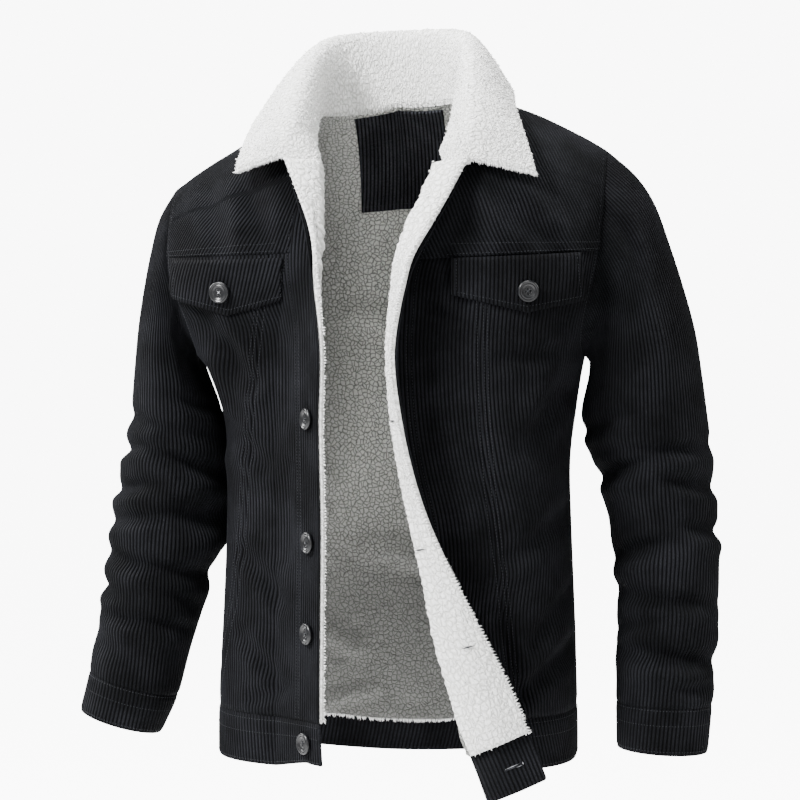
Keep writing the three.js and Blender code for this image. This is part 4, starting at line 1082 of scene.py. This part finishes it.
def build_waistband():
    rows = np.concatenate([[-1, -0.985, -0.95, -0.9, -0.85], np.linspace(-0.72, -0.004, 5)])
    right, left, back = front_base("right", rows), front_base("left", rows), back_base(rows)
    grid, normal = (np.concatenate([right[k][:, ::-1], back[k][:, 1:-1], left[k]], axis=1) for k in (0, 1))
    u = lengths_of(grid)
    u = u * (u[:, -1:].mean() / u[:, -1:])
    # The tab's lower corner is a quarter circle
    below = np.clip(TAB_ROUND - (rows + 1) * BAND_WIDTH, 0, TAB_ROUND)
    corner = TAB_ROUND - np.sqrt(TAB_ROUND ** 2 - below ** 2)
    corduroy("waistband", cloth(grid, normal, u, u[:, 0], u[:, -1] - corner, BAND))


def sleeve_base(side, rings):
    """Fine rings of a sleeve with creases, normals and distances, counted from its outer line."""
    angles = np.linspace(-180, 180, 181)
    grid = sleeve_rows(side, rings, angles)
    centre = grid.mean(axis=1, keepdims=True)
    normal = ring_normals(grid, centre)
    length = lengths_of(grid)
    depth = np.zeros(grid.shape[:2])
    for at, angle, rise, half_along, half_round, deep in CREASES[side]:
        away = np.mod(angles - angle + 540, 360) - 180
        across = (rings[:, None] - at - rise * away[None] / 90) / half_along
        ridge = 0.45 * np.exp(-((across - 1.9) / 1.1) ** 2)
        depth += deep * (np.exp(-across ** 2) - ridge) * np.exp(-(away[None] / half_round) ** 2)
    grid = grid - normal * depth[..., None]
    u = length - length[:, 90:91]
    return grid, ring_normals(grid, centre), u, u[:, 0], u[:, -1]


def tucked(grid, normal, u, low, high):
    """A sleeve with its head carried on by TUCK under the body's cloth, TUCK_DROP below its face."""
    inward = unit(grid[:1] - grid[3:4])
    head = [grid[:1] + inward * TUCK * part - normal[:1] * TUCK_DROP * part for part in (1.0, 0.35)]
    rest = [np.concatenate([values[:1], values[:1], values]) for values in (normal, u, low, high)]
    return np.concatenate(head + [grid]), *rest


def build_sleeves():
    for side in ("right", "left"):
        last = len(SLEEVE[side])
        cuff = last - 1
        rings = np.concatenate([np.linspace(0.012, 5, 27)[:-1], np.linspace(5, cuff - 0.004, 92)])
        grid, normal, u, low, high = tucked(*sleeve_base(side, rings))
        corduroy(f"sleeve_{side}", cloth(grid, normal, u, low + 0.05, high - 0.05, CORDUROY))
        grid, normal, u, low, high = sleeve_base(side, np.linspace(cuff + 0.004, last, 8))
        corduroy(f"cuff_{side}", cloth(grid, normal, u, low + 0.05, high - 0.05, BAND))


build_fronts()
build_back()
build_waistband()
build_sleeves()


def neck_line():
    """The neck seam: up the right front's neckline, round the back's, and down the left one's."""
    lines = []
    for side in ("right", "left"):
        corner = corner_row(side)
        rows = np.concatenate([[corner], np.linspace(mix(corner, 3, 0.15), 3, 9)])
        line = front_rows(side, rows)[:, -1]
        lines.append(line if side == "right" else line[::-1])
    back = back_rows([3.0])[0]
    middle = read(BODY, SHOULDER_END, CENTRE)
    inside = back[np.abs(back[:, 0] - middle) < NECK_HALF - 1]
    if inside[0, 0] > inside[-1, 0]:
        inside = inside[::-1]
    return np.concatenate([lines[0], inside, lines[1]])


NECK = neck_line()
NECK_LENGTHS = lengths_of(NECK[None])[0]

# The collar's lower edge: how far it rises over the neck seam, and lies inside and below it
COLLAR_LIFT = 1.8
CORNER_LIFT = 4.0
SEAM_INWARD = 6.5
SEAM_DOWN = 7.5

# Height of the collar's curls, and how wide its edge is rounded
COLLAR_CURL = 1.7
COLLAR_ROUND = 4.5


def bezier(a, b, c, d, t):
    """A cubic Bezier curve."""
    s = 1 - t
    return s ** 3 * a + 3 * s * s * t * b + 3 * s * t * t * c + t ** 3 * d


def collar_middle(stations, parts):
    """The middle of the collar's cloth: a stand from the neck seam to the roll, then the fall."""
    last = len(COLLAR_STATIONS) - 1
    distance = NECK_LENGTHS[-1] * stations / last
    seam = np.stack([np.interp(distance, NECK_LENGTHS, NECK[:, k]) for k in range(3)], -1)
    to_corner = np.minimum(stations, last - stations)
    seam[:, 2] += COLLAR_LIFT + CORNER_LIFT * np.clip(1 - to_corner / 1.5, 0, 1)
    both = through(COLLAR_STATIONS, stations)
    roll, edge = both[:, :3], both[:, 3:]
    out = edge - seam
    out[:, 2] = 0
    out = unit(out)
    stand = np.maximum(4, roll[:, 2] - seam[:, 2])[:, None]
    fall = np.linalg.norm(roll - edge, axis=1)[:, None]
    full_rise = np.clip(to_corner, 0, 1)[:, None]
    up = np.array([0.0, 0.0, 1.0])
    corner = np.clip(1 - to_corner, 0, 1)[:, None]
    forward = np.array([0.0, -1.0, 0.0])
    seam = seam - out * (SEAM_INWARD + 13 * corner) - up * (SEAM_DOWN + 6 * corner) + forward * 9 * corner
    rows = []
    for part in parts:
        if part <= 1:
            lean = out * np.minimum(9, stand * 0.3)
            rows.append(bezier(seam, seam + up * stand * 0.6, roll - lean, roll, part))
        else:
            swell = mix(edge, roll, 0.55) + out * fall * 0.06 + up * fall * 0.05 * full_rise
            rows.append(bezier(roll, roll + out * fall * 0.16, swell, edge, part - 1))
    return np.stack(rows)


def resampled(grid, keys, steps):
    """A grid read down its columns at steps. keys is the running length of its rows."""
    return np.stack([np.stack([np.interp(steps, keys, grid[:, c, k]) for k in range(3)], -1)
                     for c in range(grid.shape[1])], 1)


def build_collar():
    """The collar's pile on both faces, returned with its normals for the tufts."""
    middle = collar_middle(np.linspace(0, len(COLLAR_STATIONS) - 1, 281), np.linspace(0, 2, 81))
    normal = unit(np.cross(np.gradient(middle, axis=1), np.gradient(middle, axis=0)))
    if normal[40, 140, 2] < 0:
        normal = -normal
    v = running(middle[:, 140])
    u = lengths_of(middle[40][None])[0]
    steps = np.linspace(0, v[-1], 66)
    across, turned = resampled(middle, v, steps), unit(resampled(normal, v, steps))
    rim = np.minimum(steps, steps[-1] - steps)[:, None]
    end = np.minimum(u, u[-1] - u)[None, :]
    near = np.clip(np.minimum(rim, end) / COLLAR_ROUND, 0, 1)
    full = np.sqrt(1 - (1 - near) ** 2)
    gu, gv = np.meshgrid(u, steps)
    curled = [COLLAR_CURL * (curls(gu, gv, seed, 5.0, 1.6) - 0.5) * full for seed in (21, 31)]
    upper, lower = (across + way * turned * (COLLAR / 2 * full + curl)[..., None]
                    for way, curl in zip((1, -1), curled))
    maps = np.broadcast_to(np.arange(len(u)), (len(steps), len(u)))
    uv = np.stack([gu, gv], -1).reshape(-1, 2)
    shell = closed(upper, lower, maps, maps, 1, np.concatenate([uv, uv]))
    widths = lengths_of(middle)[:, -1]
    cut = (widths.max(), v[-1], float(np.mean(widths) * v[-1]))
    sherpa("collar", shell + (cut,), COLLAR_PILE)
    return upper, lower, turned


def at_x(side, rows, x):
    """Points of a front at given rows and x, read from the part of each row before the band."""
    grid = front_rows(side, rows)[:, :PLAN_POINTS]
    if SIGN[side] > 0:
        grid = grid[:, ::-1]
    return np.array([[np.interp(x[r], grid[r, :, 0], grid[r, :, k]) for k in range(3)]
                     for r in range(len(rows))])


def flap_surface(side, across, down):
    """A flap on its front: the lower edge falls to a point and the outer end lifts as a power curve."""
    flap = FLAPS[side]
    x = mix(flap["inner"], flap["outer"], across) + mix(*flap["slant"], across) * down
    before = (flap["point"] - flap["inner"]) / (flap["outer"] - flap["inner"])
    bottom = np.where(across < before, mix(flap["sides"][0], flap["tip"], across / before),
                      mix(flap["tip"], flap["sides"][1], (across - before) / (1 - before)))
    z = mix(flap["top"], bottom, down)
    row = 1 + (z - ARMPIT) / (YOKE[side] - ARMPIT)
    point = at_x(side, row.ravel(), x.ravel()).reshape(x.shape + (3,))
    point[..., 1] -= flap["lift"] * np.maximum(0, across - 0.45) ** 1.5 * (0.25 + 0.75 * down) * 2.2
    return point


def build_flaps():
    for side in ("right", "left"):
        across, down = np.meshgrid(np.linspace(0, 1, 121), np.linspace(0, 1, 13))
        grid = flap_surface(side, across, down)
        normal = normals_of(grid)
        if normal[..., 1].mean() > 0:
            normal = -normal
        u = lengths_of(grid)
        grid = grid + normal * (FLAP_REST + FLAP)
        lean = 0.3 if side == "right" else 0.0
        corduroy(f"flap_{side}", cloth(grid, normal, u, u[:, 0], u[:, -1], FLAP, lean=lean))


def build_patch():
    rows = 3 - np.linspace(math.sqrt(3 - 2.27), math.sqrt(3 - 2.986), 22) ** 2
    grid, normal, u, low, high = back_base(rows)
    grid = grid - normal * (PATCH_DEPTH + CORDUROY)
    ends = np.array([sorted(np.interp([-51.5, 40.5], *order(g[:, 0], w))) for g, w in zip(grid, u)])
    piece("neck_patch_corduroy", cloth(grid, -normal, u, ends[:, 0], ends[:, 1], CORDUROY, rib=0.6),
          PATCH_CLOTH, ["neck_patch"])


def order(keys, values):
    """Both lists in the order of rising keys."""
    rising = np.argsort(keys)
    return keys[rising], values[rising]


def spindles(centres, runs, normals, length, radius):
    """Stitches: each an octahedron drawn out along its thread, its waist a square across it."""
    centres, t, n = (np.asarray(a, float) for a in (centres, runs, normals))
    t = unit(t)
    b = unit(np.cross(n, t))
    n = np.cross(t, b)
    half = np.reshape(length, (-1, 1)) / 2
    corners = [centres - t * half, centres + t * half,
               centres + b * radius, centres + n * radius, centres - b * radius, centres - n * radius]
    points = np.stack(corners, 1)
    ring = ((2, 3), (3, 4), (4, 5), (5, 2))
    one = np.array([(0, q, p) for p, q in ring] + [(1, p, q) for p, q in ring])
    faces = (np.arange(len(points)) * 6)[:, None, None] + one
    points = points.reshape(-1, 3)
    return points, faces.reshape(-1, 3), points[:, ::2]


def tufts(roots, normals, lean, length, radius, seed):
    """Locks of pile: three-sided cones, each bent half way along towards its lean."""
    rng = np.random.default_rng(seed)
    side = unit(np.cross(normals, rng.normal(size=roots.shape)))
    other = np.cross(normals, side)
    first = unit(normals + lean * 0.6)
    second = unit(normals * 0.35 + lean)
    middle = roots + first * length * 0.5
    tip = middle + second * length * 0.6
    turn = 2 * math.pi / 3
    spokes = [side * math.cos(k * turn) + other * math.sin(k * turn) for k in range(3)]
    foot = [roots + spoke * radius for spoke in spokes]
    waist = [middle + spoke * radius * 0.7 for spoke in spokes]
    points = np.stack(foot + waist + [tip], 1)
    one = [(0, 2, 1)]
    for k in range(3):
        j = (k + 1) % 3
        one += [(k, j, 3 + j), (k, 3 + j, 3 + k), (3 + k, 3 + j, 6)]
    faces = (np.arange(len(points)) * 7)[:, None, None] + np.array(one)
    points = points.reshape(-1, 3)
    return points, faces.reshape(-1, 3), points[:, ::2]


def stitched(path, normals, pitch=3.2, length=2.3, radius=0.32, lift=0.35):
    """Stitches at an even pitch along a path that lies on a cloth."""
    run = running(path)
    at = np.arange(pitch / 2, run[-1], pitch)
    read_at = lambda values, where: np.stack([np.interp(where, run, values[:, k]) for k in range(3)], -1)
    centre, ahead = read_at(path, at), read_at(path, at + 0.4)
    n = unit(read_at(normals, at))
    return spindles(centre + n * lift, ahead - centre, n, length, radius)


def across_row(base, row, start, end, inset=0.0):
    """A path along one row of a base, from start to end as parts of its whole width."""
    grid, normal, u, low, high = base(np.array([row, row + 0.004]))
    at = np.linspace(mix(low[0], high[0], start) + inset, mix(low[0], high[0], end) - inset, 120)[None]
    return along(grid[:1], u[:1], at)[0], along(normal[:1], u[:1], at)[0]


def down_rows(base, rows, place):
    """A path down the rows of a base. place gives the distance on each row from its two ends."""
    grid, normal, u, low, high = base(rows)
    at = place(low, high)[:, None]
    return along(grid, u, at)[:, 0], along(normal, u, at)[:, 0]


def on_front(side, z, x):
    """A path on a front through places given by height and x, with its normals."""
    z, x = np.asarray(z, float), np.asarray(x, float)
    plain = z - x * LEAN * smooth(z, LEAN_FLOOR, 0)
    row = np.where(plain < ARMPIT, (plain - WAIST[side]) / (ARMPIT - WAIST[side]),
                   1 + (plain - ARMPIT) / (YOKE[side] - ARMPIT))
    here = at_x(side, row, x)
    n = unit(np.cross(at_x(side, row, x + 2) - here, at_x(side, row + 0.01, x) - here))
    n = np.where(n[:, 1:2] > 0, -n, n)
    return folded(here[:, None], n[:, None], FOLDS[side])[:, 0], n


def build_stitching():
    """Lines of stitches beside the seams, each a few tenths of a millimetre proud of the cloth."""
    lines = []
    for side in ("right", "left"):
        base = lambda rows, side=side: front_base(side, rows)
        for above in (2.0, 9.0):
            path, n = across_row(base, 2 + above / YOKE_RISE, 0, 1)
            lines.append(stitched(path[:-34], n[:-34], lift=0.7))
        seam_z, seam_x = (np.array(values, float) for values in SHAPED_SEAMS[side])
        z = np.linspace(-596, YOKE[side] - 8, 70)
        for off in (-1.8, 4.6, 8.4):
            x = np.interp(z, seam_z, seam_x) + SIGN[side] * off
            lines.append(stitched(*on_front(side, z, x)))
        rows = np.concatenate([np.linspace(0.005, 1, 90), np.linspace(1.02, corner_row(side) - 0.02, 40)])
        lines.append(stitched(*down_rows(base, rows, lambda low, high: high * 0 - 2.2)))
        lines.append(stitched(*down_rows(base, rows[:100], lambda low, high: high * 0 + 3.0)))
        rows = np.linspace(1.0, 2.95, 60)
        lines.append(stitched(*down_rows(base, rows, lambda low, high: low + 5.0)))
        for row in (-0.09, -0.36, -0.93):
            lines.append(stitched(*across_row(base, row, 0.0, 1, 2.0)))
        last = len(SLEEVE[side])
        sleeve = lambda rows, side=side: sleeve_base(side, rows)
        for ring in (last - 0.955, last - 0.62, last - 0.08):
            lines.append(stitched(*across_row(sleeve, ring, 0, 1)))
        flap_across, flap_down = np.linspace(0.04, 0.96, 60), np.linspace(0.02, 0.89, 60)
        ends = [(np.full(60, end), flap_down) for end in (0.04, 0.96)]
        for across, down in (*ends, (flap_across, np.full(60, 0.89))):
            grids = [flap_surface(side, across + a, down + d) for a, d in ((0, 0), (0.01, 0), (0, 0.01))]
            n = unit(np.cross(grids[1] - grids[0], grids[2] - grids[0]))
            n = np.where(n[:, 1:2] > 0, -n, n)
            lines.append(stitched(grids[0] + n * (FLAP_REST + FLAP), n))
    for above in (2.0, 9.0):
        lines.append(stitched(*across_row(back_base, 2 + above / BACK_YOKE_RISE, 0, 1, 2.0)))
    for row in (-0.09, -0.36, -0.93):
        lines.append(stitched(*across_row(back_base, row, 0, 1)))
    piece("stitching", joined(lines), THREAD)


def build_patch_stitching():
    """Lines across the neck patch: one below its top, a pair lower down, and one near its foot."""
    lines = []
    for row in (2.955, 2.80, 2.765, 2.31):
        grid, normal, u, low, high = back_base(np.array([row, row + 0.004]))
        keys, values = order(grid[0, :, 0], u[0])
        at = np.linspace(*np.interp([-49, 38], keys, values), 60)[None]
        path, n = along(grid[:1], u[:1], at)[0], along(normal[:1], u[:1], at)[0]
        lines.append(stitched(path - n * (PATCH_DEPTH + CORDUROY), -n, lift=0.5))
    piece("patch_stitching", joined(lines), THREAD)


def cad_place(name):
    """Middle and outward axis of a packed button, in millimetres: its thinnest direction."""
    thing = bpy.data.objects[name]
    count = len(thing.data.vertices)
    flat = np.empty(count * 3)
    thing.data.vertices.foreach_get("co", flat)
    local = flat.reshape(-1, 3)
    turn = np.array(thing.matrix_world)
    points = (local @ turn[:3, :3].T + turn[:3, 3]) * 1000
    middle = (points.max(axis=0) + points.min(axis=0)) / 2
    axis = np.linalg.eigh(np.cov((points - middle).T))[1][:, 0]
    return middle, axis if axis[1] < 0 else -axis


# Button profile from the middle of its face round the rim to the middle of its back: radius, height
BUTTON_PROFILE = np.array([
    (0.001, 0.7), (5.2, 0.75), (6.2, 1.2), (6.9, 1.85), (7.4, 1.9), (7.8, 1.35), (8.3, 1.4), (8.9, 2.0),
    (9.7, 2.1), (10.4, 1.7), (10.8, 0.8), (10.8, -0.6), (10.2, -1.7), (8.5, -2.1), (0.001, -2.1),
])
HOLE_OFF, HOLE_WIDE, HOLE_DEEP = 1.75, 1.15, 2.2
BUTTON_SIDES = 48


def button_shell(middle, axis, turn):
    """A four-hole button turned from a profile, its holes pressed in as steep round wells."""
    fine = np.arange(0.0, 5.2, 0.3)[1:]
    radius = np.concatenate([[0.001], fine, BUTTON_PROFILE[1:, 0]])
    height = np.concatenate([[0.7], np.interp(fine, *BUTTON_PROFILE[:2].T), BUTTON_PROFILE[1:, 1]])
    angles = np.linspace(0, 2 * math.pi, BUTTON_SIDES + 1)[:-1]
    x, y = radius[:, None] * np.cos(angles), radius[:, None] * np.sin(angles)
    z = np.repeat(height[:, None], BUTTON_SIDES, 1)
    face = np.arange(len(radius))[:, None] <= len(fine)
    for a, b in ((1, 1), (1, -1), (-1, 1), (-1, -1)):
        away = np.hypot(x - a * HOLE_OFF, y - b * HOLE_OFF)
        z = z - np.where(face, HOLE_DEEP * (1 - smooth(away, HOLE_WIDE * 0.6, HOLE_WIDE)), 0)
    side = unit(np.cross(axis, (0.0, 0.0, 1.0)))
    up = np.cross(side, axis)
    side, up = side * math.cos(turn) + up * math.sin(turn), up * math.cos(turn) - side * math.sin(turn)
    points = middle + x[..., None] * side + y[..., None] * up + z[..., None] * axis
    rows = len(radius)
    r, c = np.meshgrid(np.arange(rows - 1), np.arange(BUTTON_SIDES), indexing="ij")
    here, below = r * BUTTON_SIDES, (r + 1) * BUTTON_SIDES
    after = (c + 1) % BUTTON_SIDES
    a, b, d, e = here + c, here + after, below + after, below + c
    faces = np.concatenate([np.stack(t, -1).reshape(-1, 3) for t in ((a, b, d), (a, d, e))])
    near = np.arange(1, BUTTON_SIDES - 1)
    front_cap = np.stack([near * 0, near + 1, near], -1)
    back_cap = (rows - 1) * BUTTON_SIDES + np.stack([near * 0, near, near + 1], -1)
    faces = np.concatenate([faces, front_cap, back_cap])
    points = points.reshape(-1, 3)
    a, b, c = (points[faces[:, k]] - middle for k in range(3))
    if (a * np.cross(b, c)).sum() < 0:
        faces = faces[:, ::-1]
    return (points, faces, points[:, ::2]), side, up


def build_buttons():
    """Each button at its packed place, and its thread as a cross over the four holes."""
    names = ("button_1", "button_2", "button_3", "button_band", "button_flap_right", "button_flap_left")
    turns = (0.3, 0.9, 0.2, 0.6, 0.05, 0.7)
    threads = []
    for name, turn in zip(names, turns):
        middle, axis = cad_place(name)
        shell, side, up = button_shell(middle, axis, turn)
        piece(name + "_resin", shell, RESIN, [name])
        spot = middle + axis * 1.1
        bars = np.array([side + up, side - up])
        spots = np.array([spot, spot + axis * 0.2])
        threads.append(spindles(spots, bars, np.array([axis, axis]), 6.4, 0.45))
    piece("button_thread", joined(threads[:4] + threads[5:]), THREAD)
    piece("button_thread_pale", threads[4], PALE_THREAD)


def scattered(grid, normals, count, seed):
    """Places picked at random on a grid, each moved part of a cell, with normals and two tangents."""
    rng = np.random.default_rng(seed)
    r = rng.integers(0, grid.shape[0] - 1, count)
    c = rng.integers(0, grid.shape[1] - 1, count)
    a, b = rng.random((2, count, 1))
    place = grid[r, c] + (grid[r + 1, c] - grid[r, c]) * a + (grid[r, c + 1] - grid[r, c]) * b
    return place, normals[r, c], unit(grid[r + 1, c] - grid[r, c]), unit(grid[r, c + 1] - grid[r, c])


def build_tufts(upper, lower, turned):
    """Loose pile: short locks over the collar and facings, longer ones along their edges."""
    rng = np.random.default_rng(4)
    parts = []
    for grid, flip, count in ((upper, 1, 6500), (lower, -1, 2200)):
        place, n, down, around = scattered(grid, turned * flip, count, 11 + flip)
        swirl = rng.normal(size=(count, 1))
        lean = unit(down * 0.5 + around * swirl * 0.9)
        parts.append(tufts(place - n * 0.6, n, lean, rng.uniform(1.6, 3.4, (count, 1)), 0.8, 7))
    c = rng.integers(0, upper.shape[1] - 1, 1000)
    out = unit(upper[-1, c] - upper[-6, c])
    lean = unit(out + rng.normal(size=(1000, 3)) * 0.35)
    middle = (upper[-2, c] + lower[-2, c]) / 2
    parts.append(tufts(middle, out, lean, rng.uniform(2.0, 4.8, (1000, 1)), 0.9, 9))
    for column, inner in ((0, 3), (-1, -4)):
        r = rng.integers(0, upper.shape[0], 320)
        out = unit(upper[r, column] - upper[r, inner])
        lean = unit(out + rng.normal(size=(320, 3)) * 0.4)
        middle = (upper[r, column] + lower[r, column]) / 2
        parts.append(tufts(middle - out * 1.5, out, lean, rng.uniform(2.0, 4.5, (320, 1)), 0.9, 13))
    piece("collar_tufts", joined(parts), TUFTS)
    parts = []
    for side, count in (("right", 1500), ("left", 3000)):
        rows = np.concatenate([np.linspace(0.0, 1, 120)[:-1], np.linspace(1, corner_row(side), 60)])
        grid, normal, u, low, high = front_base(side, rows)
        deep = facing_depth(rows) + SHERPA - 0.9
        at = mix(facing_start(side, rows)[:, None], high[:, None], np.linspace(0.03, 0.995, 24)[None])
        face = along(grid, u, at) - along(normal, u, at) * deep[:, None, None]
        place, n, down, around = scattered(face, -along(normal, u, at), count, 21)
        lean = unit(-down * 0.7 + around * rng.normal(size=(count, 1)) * 0.8)
        parts.append(tufts(place, n, lean, rng.uniform(1.8, 3.6, (count, 1)), 0.8, 17))
        r = rng.integers(0, len(rows), count // 4)
        out = unit(face[r, -1] - face[r, -3])
        lean = unit(out + rng.normal(size=(len(r), 3)) * 0.4)
        root = face[r, -1] - out
        parts.append(tufts(root, out, lean, rng.uniform(2.0, 4.6, (len(r), 1)), 0.9, 19))
    piece("facing_tufts", joined(parts), TUFTS)
    grid, normal, u, low, high = back_base(np.array([-0.26, -0.22]))
    at = np.sort(rng.uniform(low.min() + 2, high.max() - 2, 900))[None].repeat(2, 0)
    deep = LINING_DEPTH + LINING_PILE_HEIGHT * rng.uniform(0.1, 1, (1, 900, 1))
    place = along(grid, u, at) - along(normal, u, at) * deep
    out = unit(place[0] - place[1])
    lean = unit(out + rng.normal(size=(900, 3)) * 0.4)
    fringe = tufts(place[0] - out * 1.5, out, lean, rng.uniform(2.0, 4.5, (900, 1)), 0.9, 23)
    piece("lining_fringe", fringe, TUFTS)


def build_buttonholes():
    """Worked buttonholes of the left front: pale thread round a slit on the tab, short slits in the pile."""
    grid, normal, u, low, high = front_base("left", np.linspace(-0.56, -0.44, 3))
    at = np.linspace(high[1] - TAB_HOLE[0], high[1] - TAB_HOLE[1], 15)[None]
    path, n = along(grid[1:2], u[1:2], at)[0], along(normal[1:2], u[1:2], at)[0]
    path = path - n * (BAND + 0.3)
    run = unit(np.gradient(path, axis=0))
    across = np.cross(n, run)
    # One thread below the slit, turned round its outer end and part of the way back
    bars = [spindles(path[7:8] - across[7:8] * 1.3, run[7:8], -n[7:8], 19, 0.3),
            spindles(path[-2:-1] + run[-2:-1] * 0.6, across[-2:-1], -n[-2:-1], 3.4, 0.42),
            spindles(path[11:12] + across[11:12] * 1.3, run[11:12], -n[11:12], 7, 0.28)]
    slits = [spindles(path[7:8], run[7:8], -n[7:8], 19, 0.8)]
    piece("tab_buttonhole", joined(bars), PALE_THREAD)
    for z in BUTTON_HEIGHTS:
        row = np.array([(z - WAIST["left"]) / (ARMPIT - WAIST["left"])] * 2) + np.array([0, 0.004])
        grid, normal, u, low, high = front_base("left", row)
        at = high[0] - BUTTON_INSET + np.array([[0.0, 1.0]])
        spot, n = along(grid[:1], u[:1], at)[0], along(normal[:1], u[:1], at)[0]
        face = spot[:1] - n[:1] * (FACING_DEPTH + SHERPA + 0.9)
        slits.append(spindles(face, spot[1:] - spot[:1], -n[:1], 15, 0.9))
    piece("buttonhole_slits", joined(slits), THREAD)


collar_upper, collar_lower, collar_turned = build_collar()
build_flaps()
build_patch()
build_stitching()
build_patch_stitching()
build_buttons()
build_buttonholes()
build_tufts(collar_upper, collar_lower, collar_turned)

FLOOR_HALF, FLOOR_Z = 20.0, -1.25
floor_mesh = bpy.data.meshes.new("floor")
floor_corners = [(x * FLOOR_HALF, y * FLOOR_HALF, FLOOR_Z) for x, y in ((-1, -1), (1, -1), (1, 1), (-1, 1))]
floor_mesh.from_pydata(floor_corners, [], [(0, 1, 2, 3)])
floor = bpy.data.objects.new("floor", floor_mesh)
bpy.context.scene.collection.objects.link(floor)
floor_material, floor_tree, floor_shader = surface(
    "pale_studio_floor", Roughness=0.9, Base_Color=linear("#f4f4f4"))
# Paper lit as brightly as the backdrop, seen by the camera alone
seen = node(floor_tree, "ShaderNodeLightPath").outputs["Is Camera Ray"]
glow = maths(floor_tree, "MULTIPLY", seen, 8.5)
floor_shader.inputs["Emission Color"].default_value = (1, 1, 1, 1)
floor_tree.links.new(glow, floor_shader.inputs["Emission Strength"])
floor_mesh.materials.append(floor_material)

world = bpy.data.worlds.new("pale_studio")
world.use_nodes = True
backdrop = world.node_tree.nodes["Background"]
backdrop.inputs["Color"].default_value = (1, 1, 1, 1)
# The paper backdrop is seen brighter than it lights the cloth
seen = node(world.node_tree, "ShaderNodeLightPath").outputs["Is Camera Ray"]
strength = ranged(world.node_tree, seen, 0.0, 1.0, 0.5, 9.0)
world.node_tree.links.new(strength, backdrop.inputs["Strength"])
bpy.context.scene.world = world

# Soft boxes: name, place in metres, size in metres, watts
LAMPS = (
    ("key", (-2.0, -1.9, 2.0), 0.9, 460),
    ("fill", (1.0, -2.8, 0.4), 1.4, 30),
    ("rim_left", (-2.2, 0.9, 0.9), 1.2, 120),
    ("rim_right", (2.2, 0.9, 0.9), 1.2, 50),
    ("top", (0.0, 0.1, 2.2), 1.4, 120),
)
for name, place, size, power in LAMPS:
    data = bpy.data.lights.new(name, "AREA")
    data.size = size
    data.energy = power
    light = bpy.data.objects.new(name, data)
    light.location = place
    aim = Vector((0.0, 0.0, -0.3)) - Vector(place)
    light.rotation_euler = aim.to_track_quat("-Z", "Y").to_euler()
    bpy.context.scene.collection.objects.link(light)

# The photograph's view: its angle round and above the jacket, distance, frame width and aim
AZIMUTH, ELEVATION = math.radians(6), math.radians(4)
DISTANCE, FRAME_WIDTH, AIM = 3.4, 0.824, Vector((0.002, 0.0, -0.288))
camera_data = bpy.data.cameras.new("photo_view")
camera = bpy.data.objects.new("photo_view", camera_data)
back = Vector((math.sin(AZIMUTH) * math.cos(ELEVATION), -math.cos(AZIMUTH) * math.cos(ELEVATION),
               math.sin(ELEVATION)))
camera.location = AIM + back * DISTANCE
camera.rotation_euler = (-back).to_track_quat("-Z", "Y").to_euler()
camera_data.sensor_width = 36.0
camera_data.lens = camera_data.sensor_width * DISTANCE / FRAME_WIDTH
camera_data.clip_start, camera_data.clip_end = 0.1, 100.0
bpy.context.scene.collection.objects.link(camera)
bpy.context.scene.camera = camera
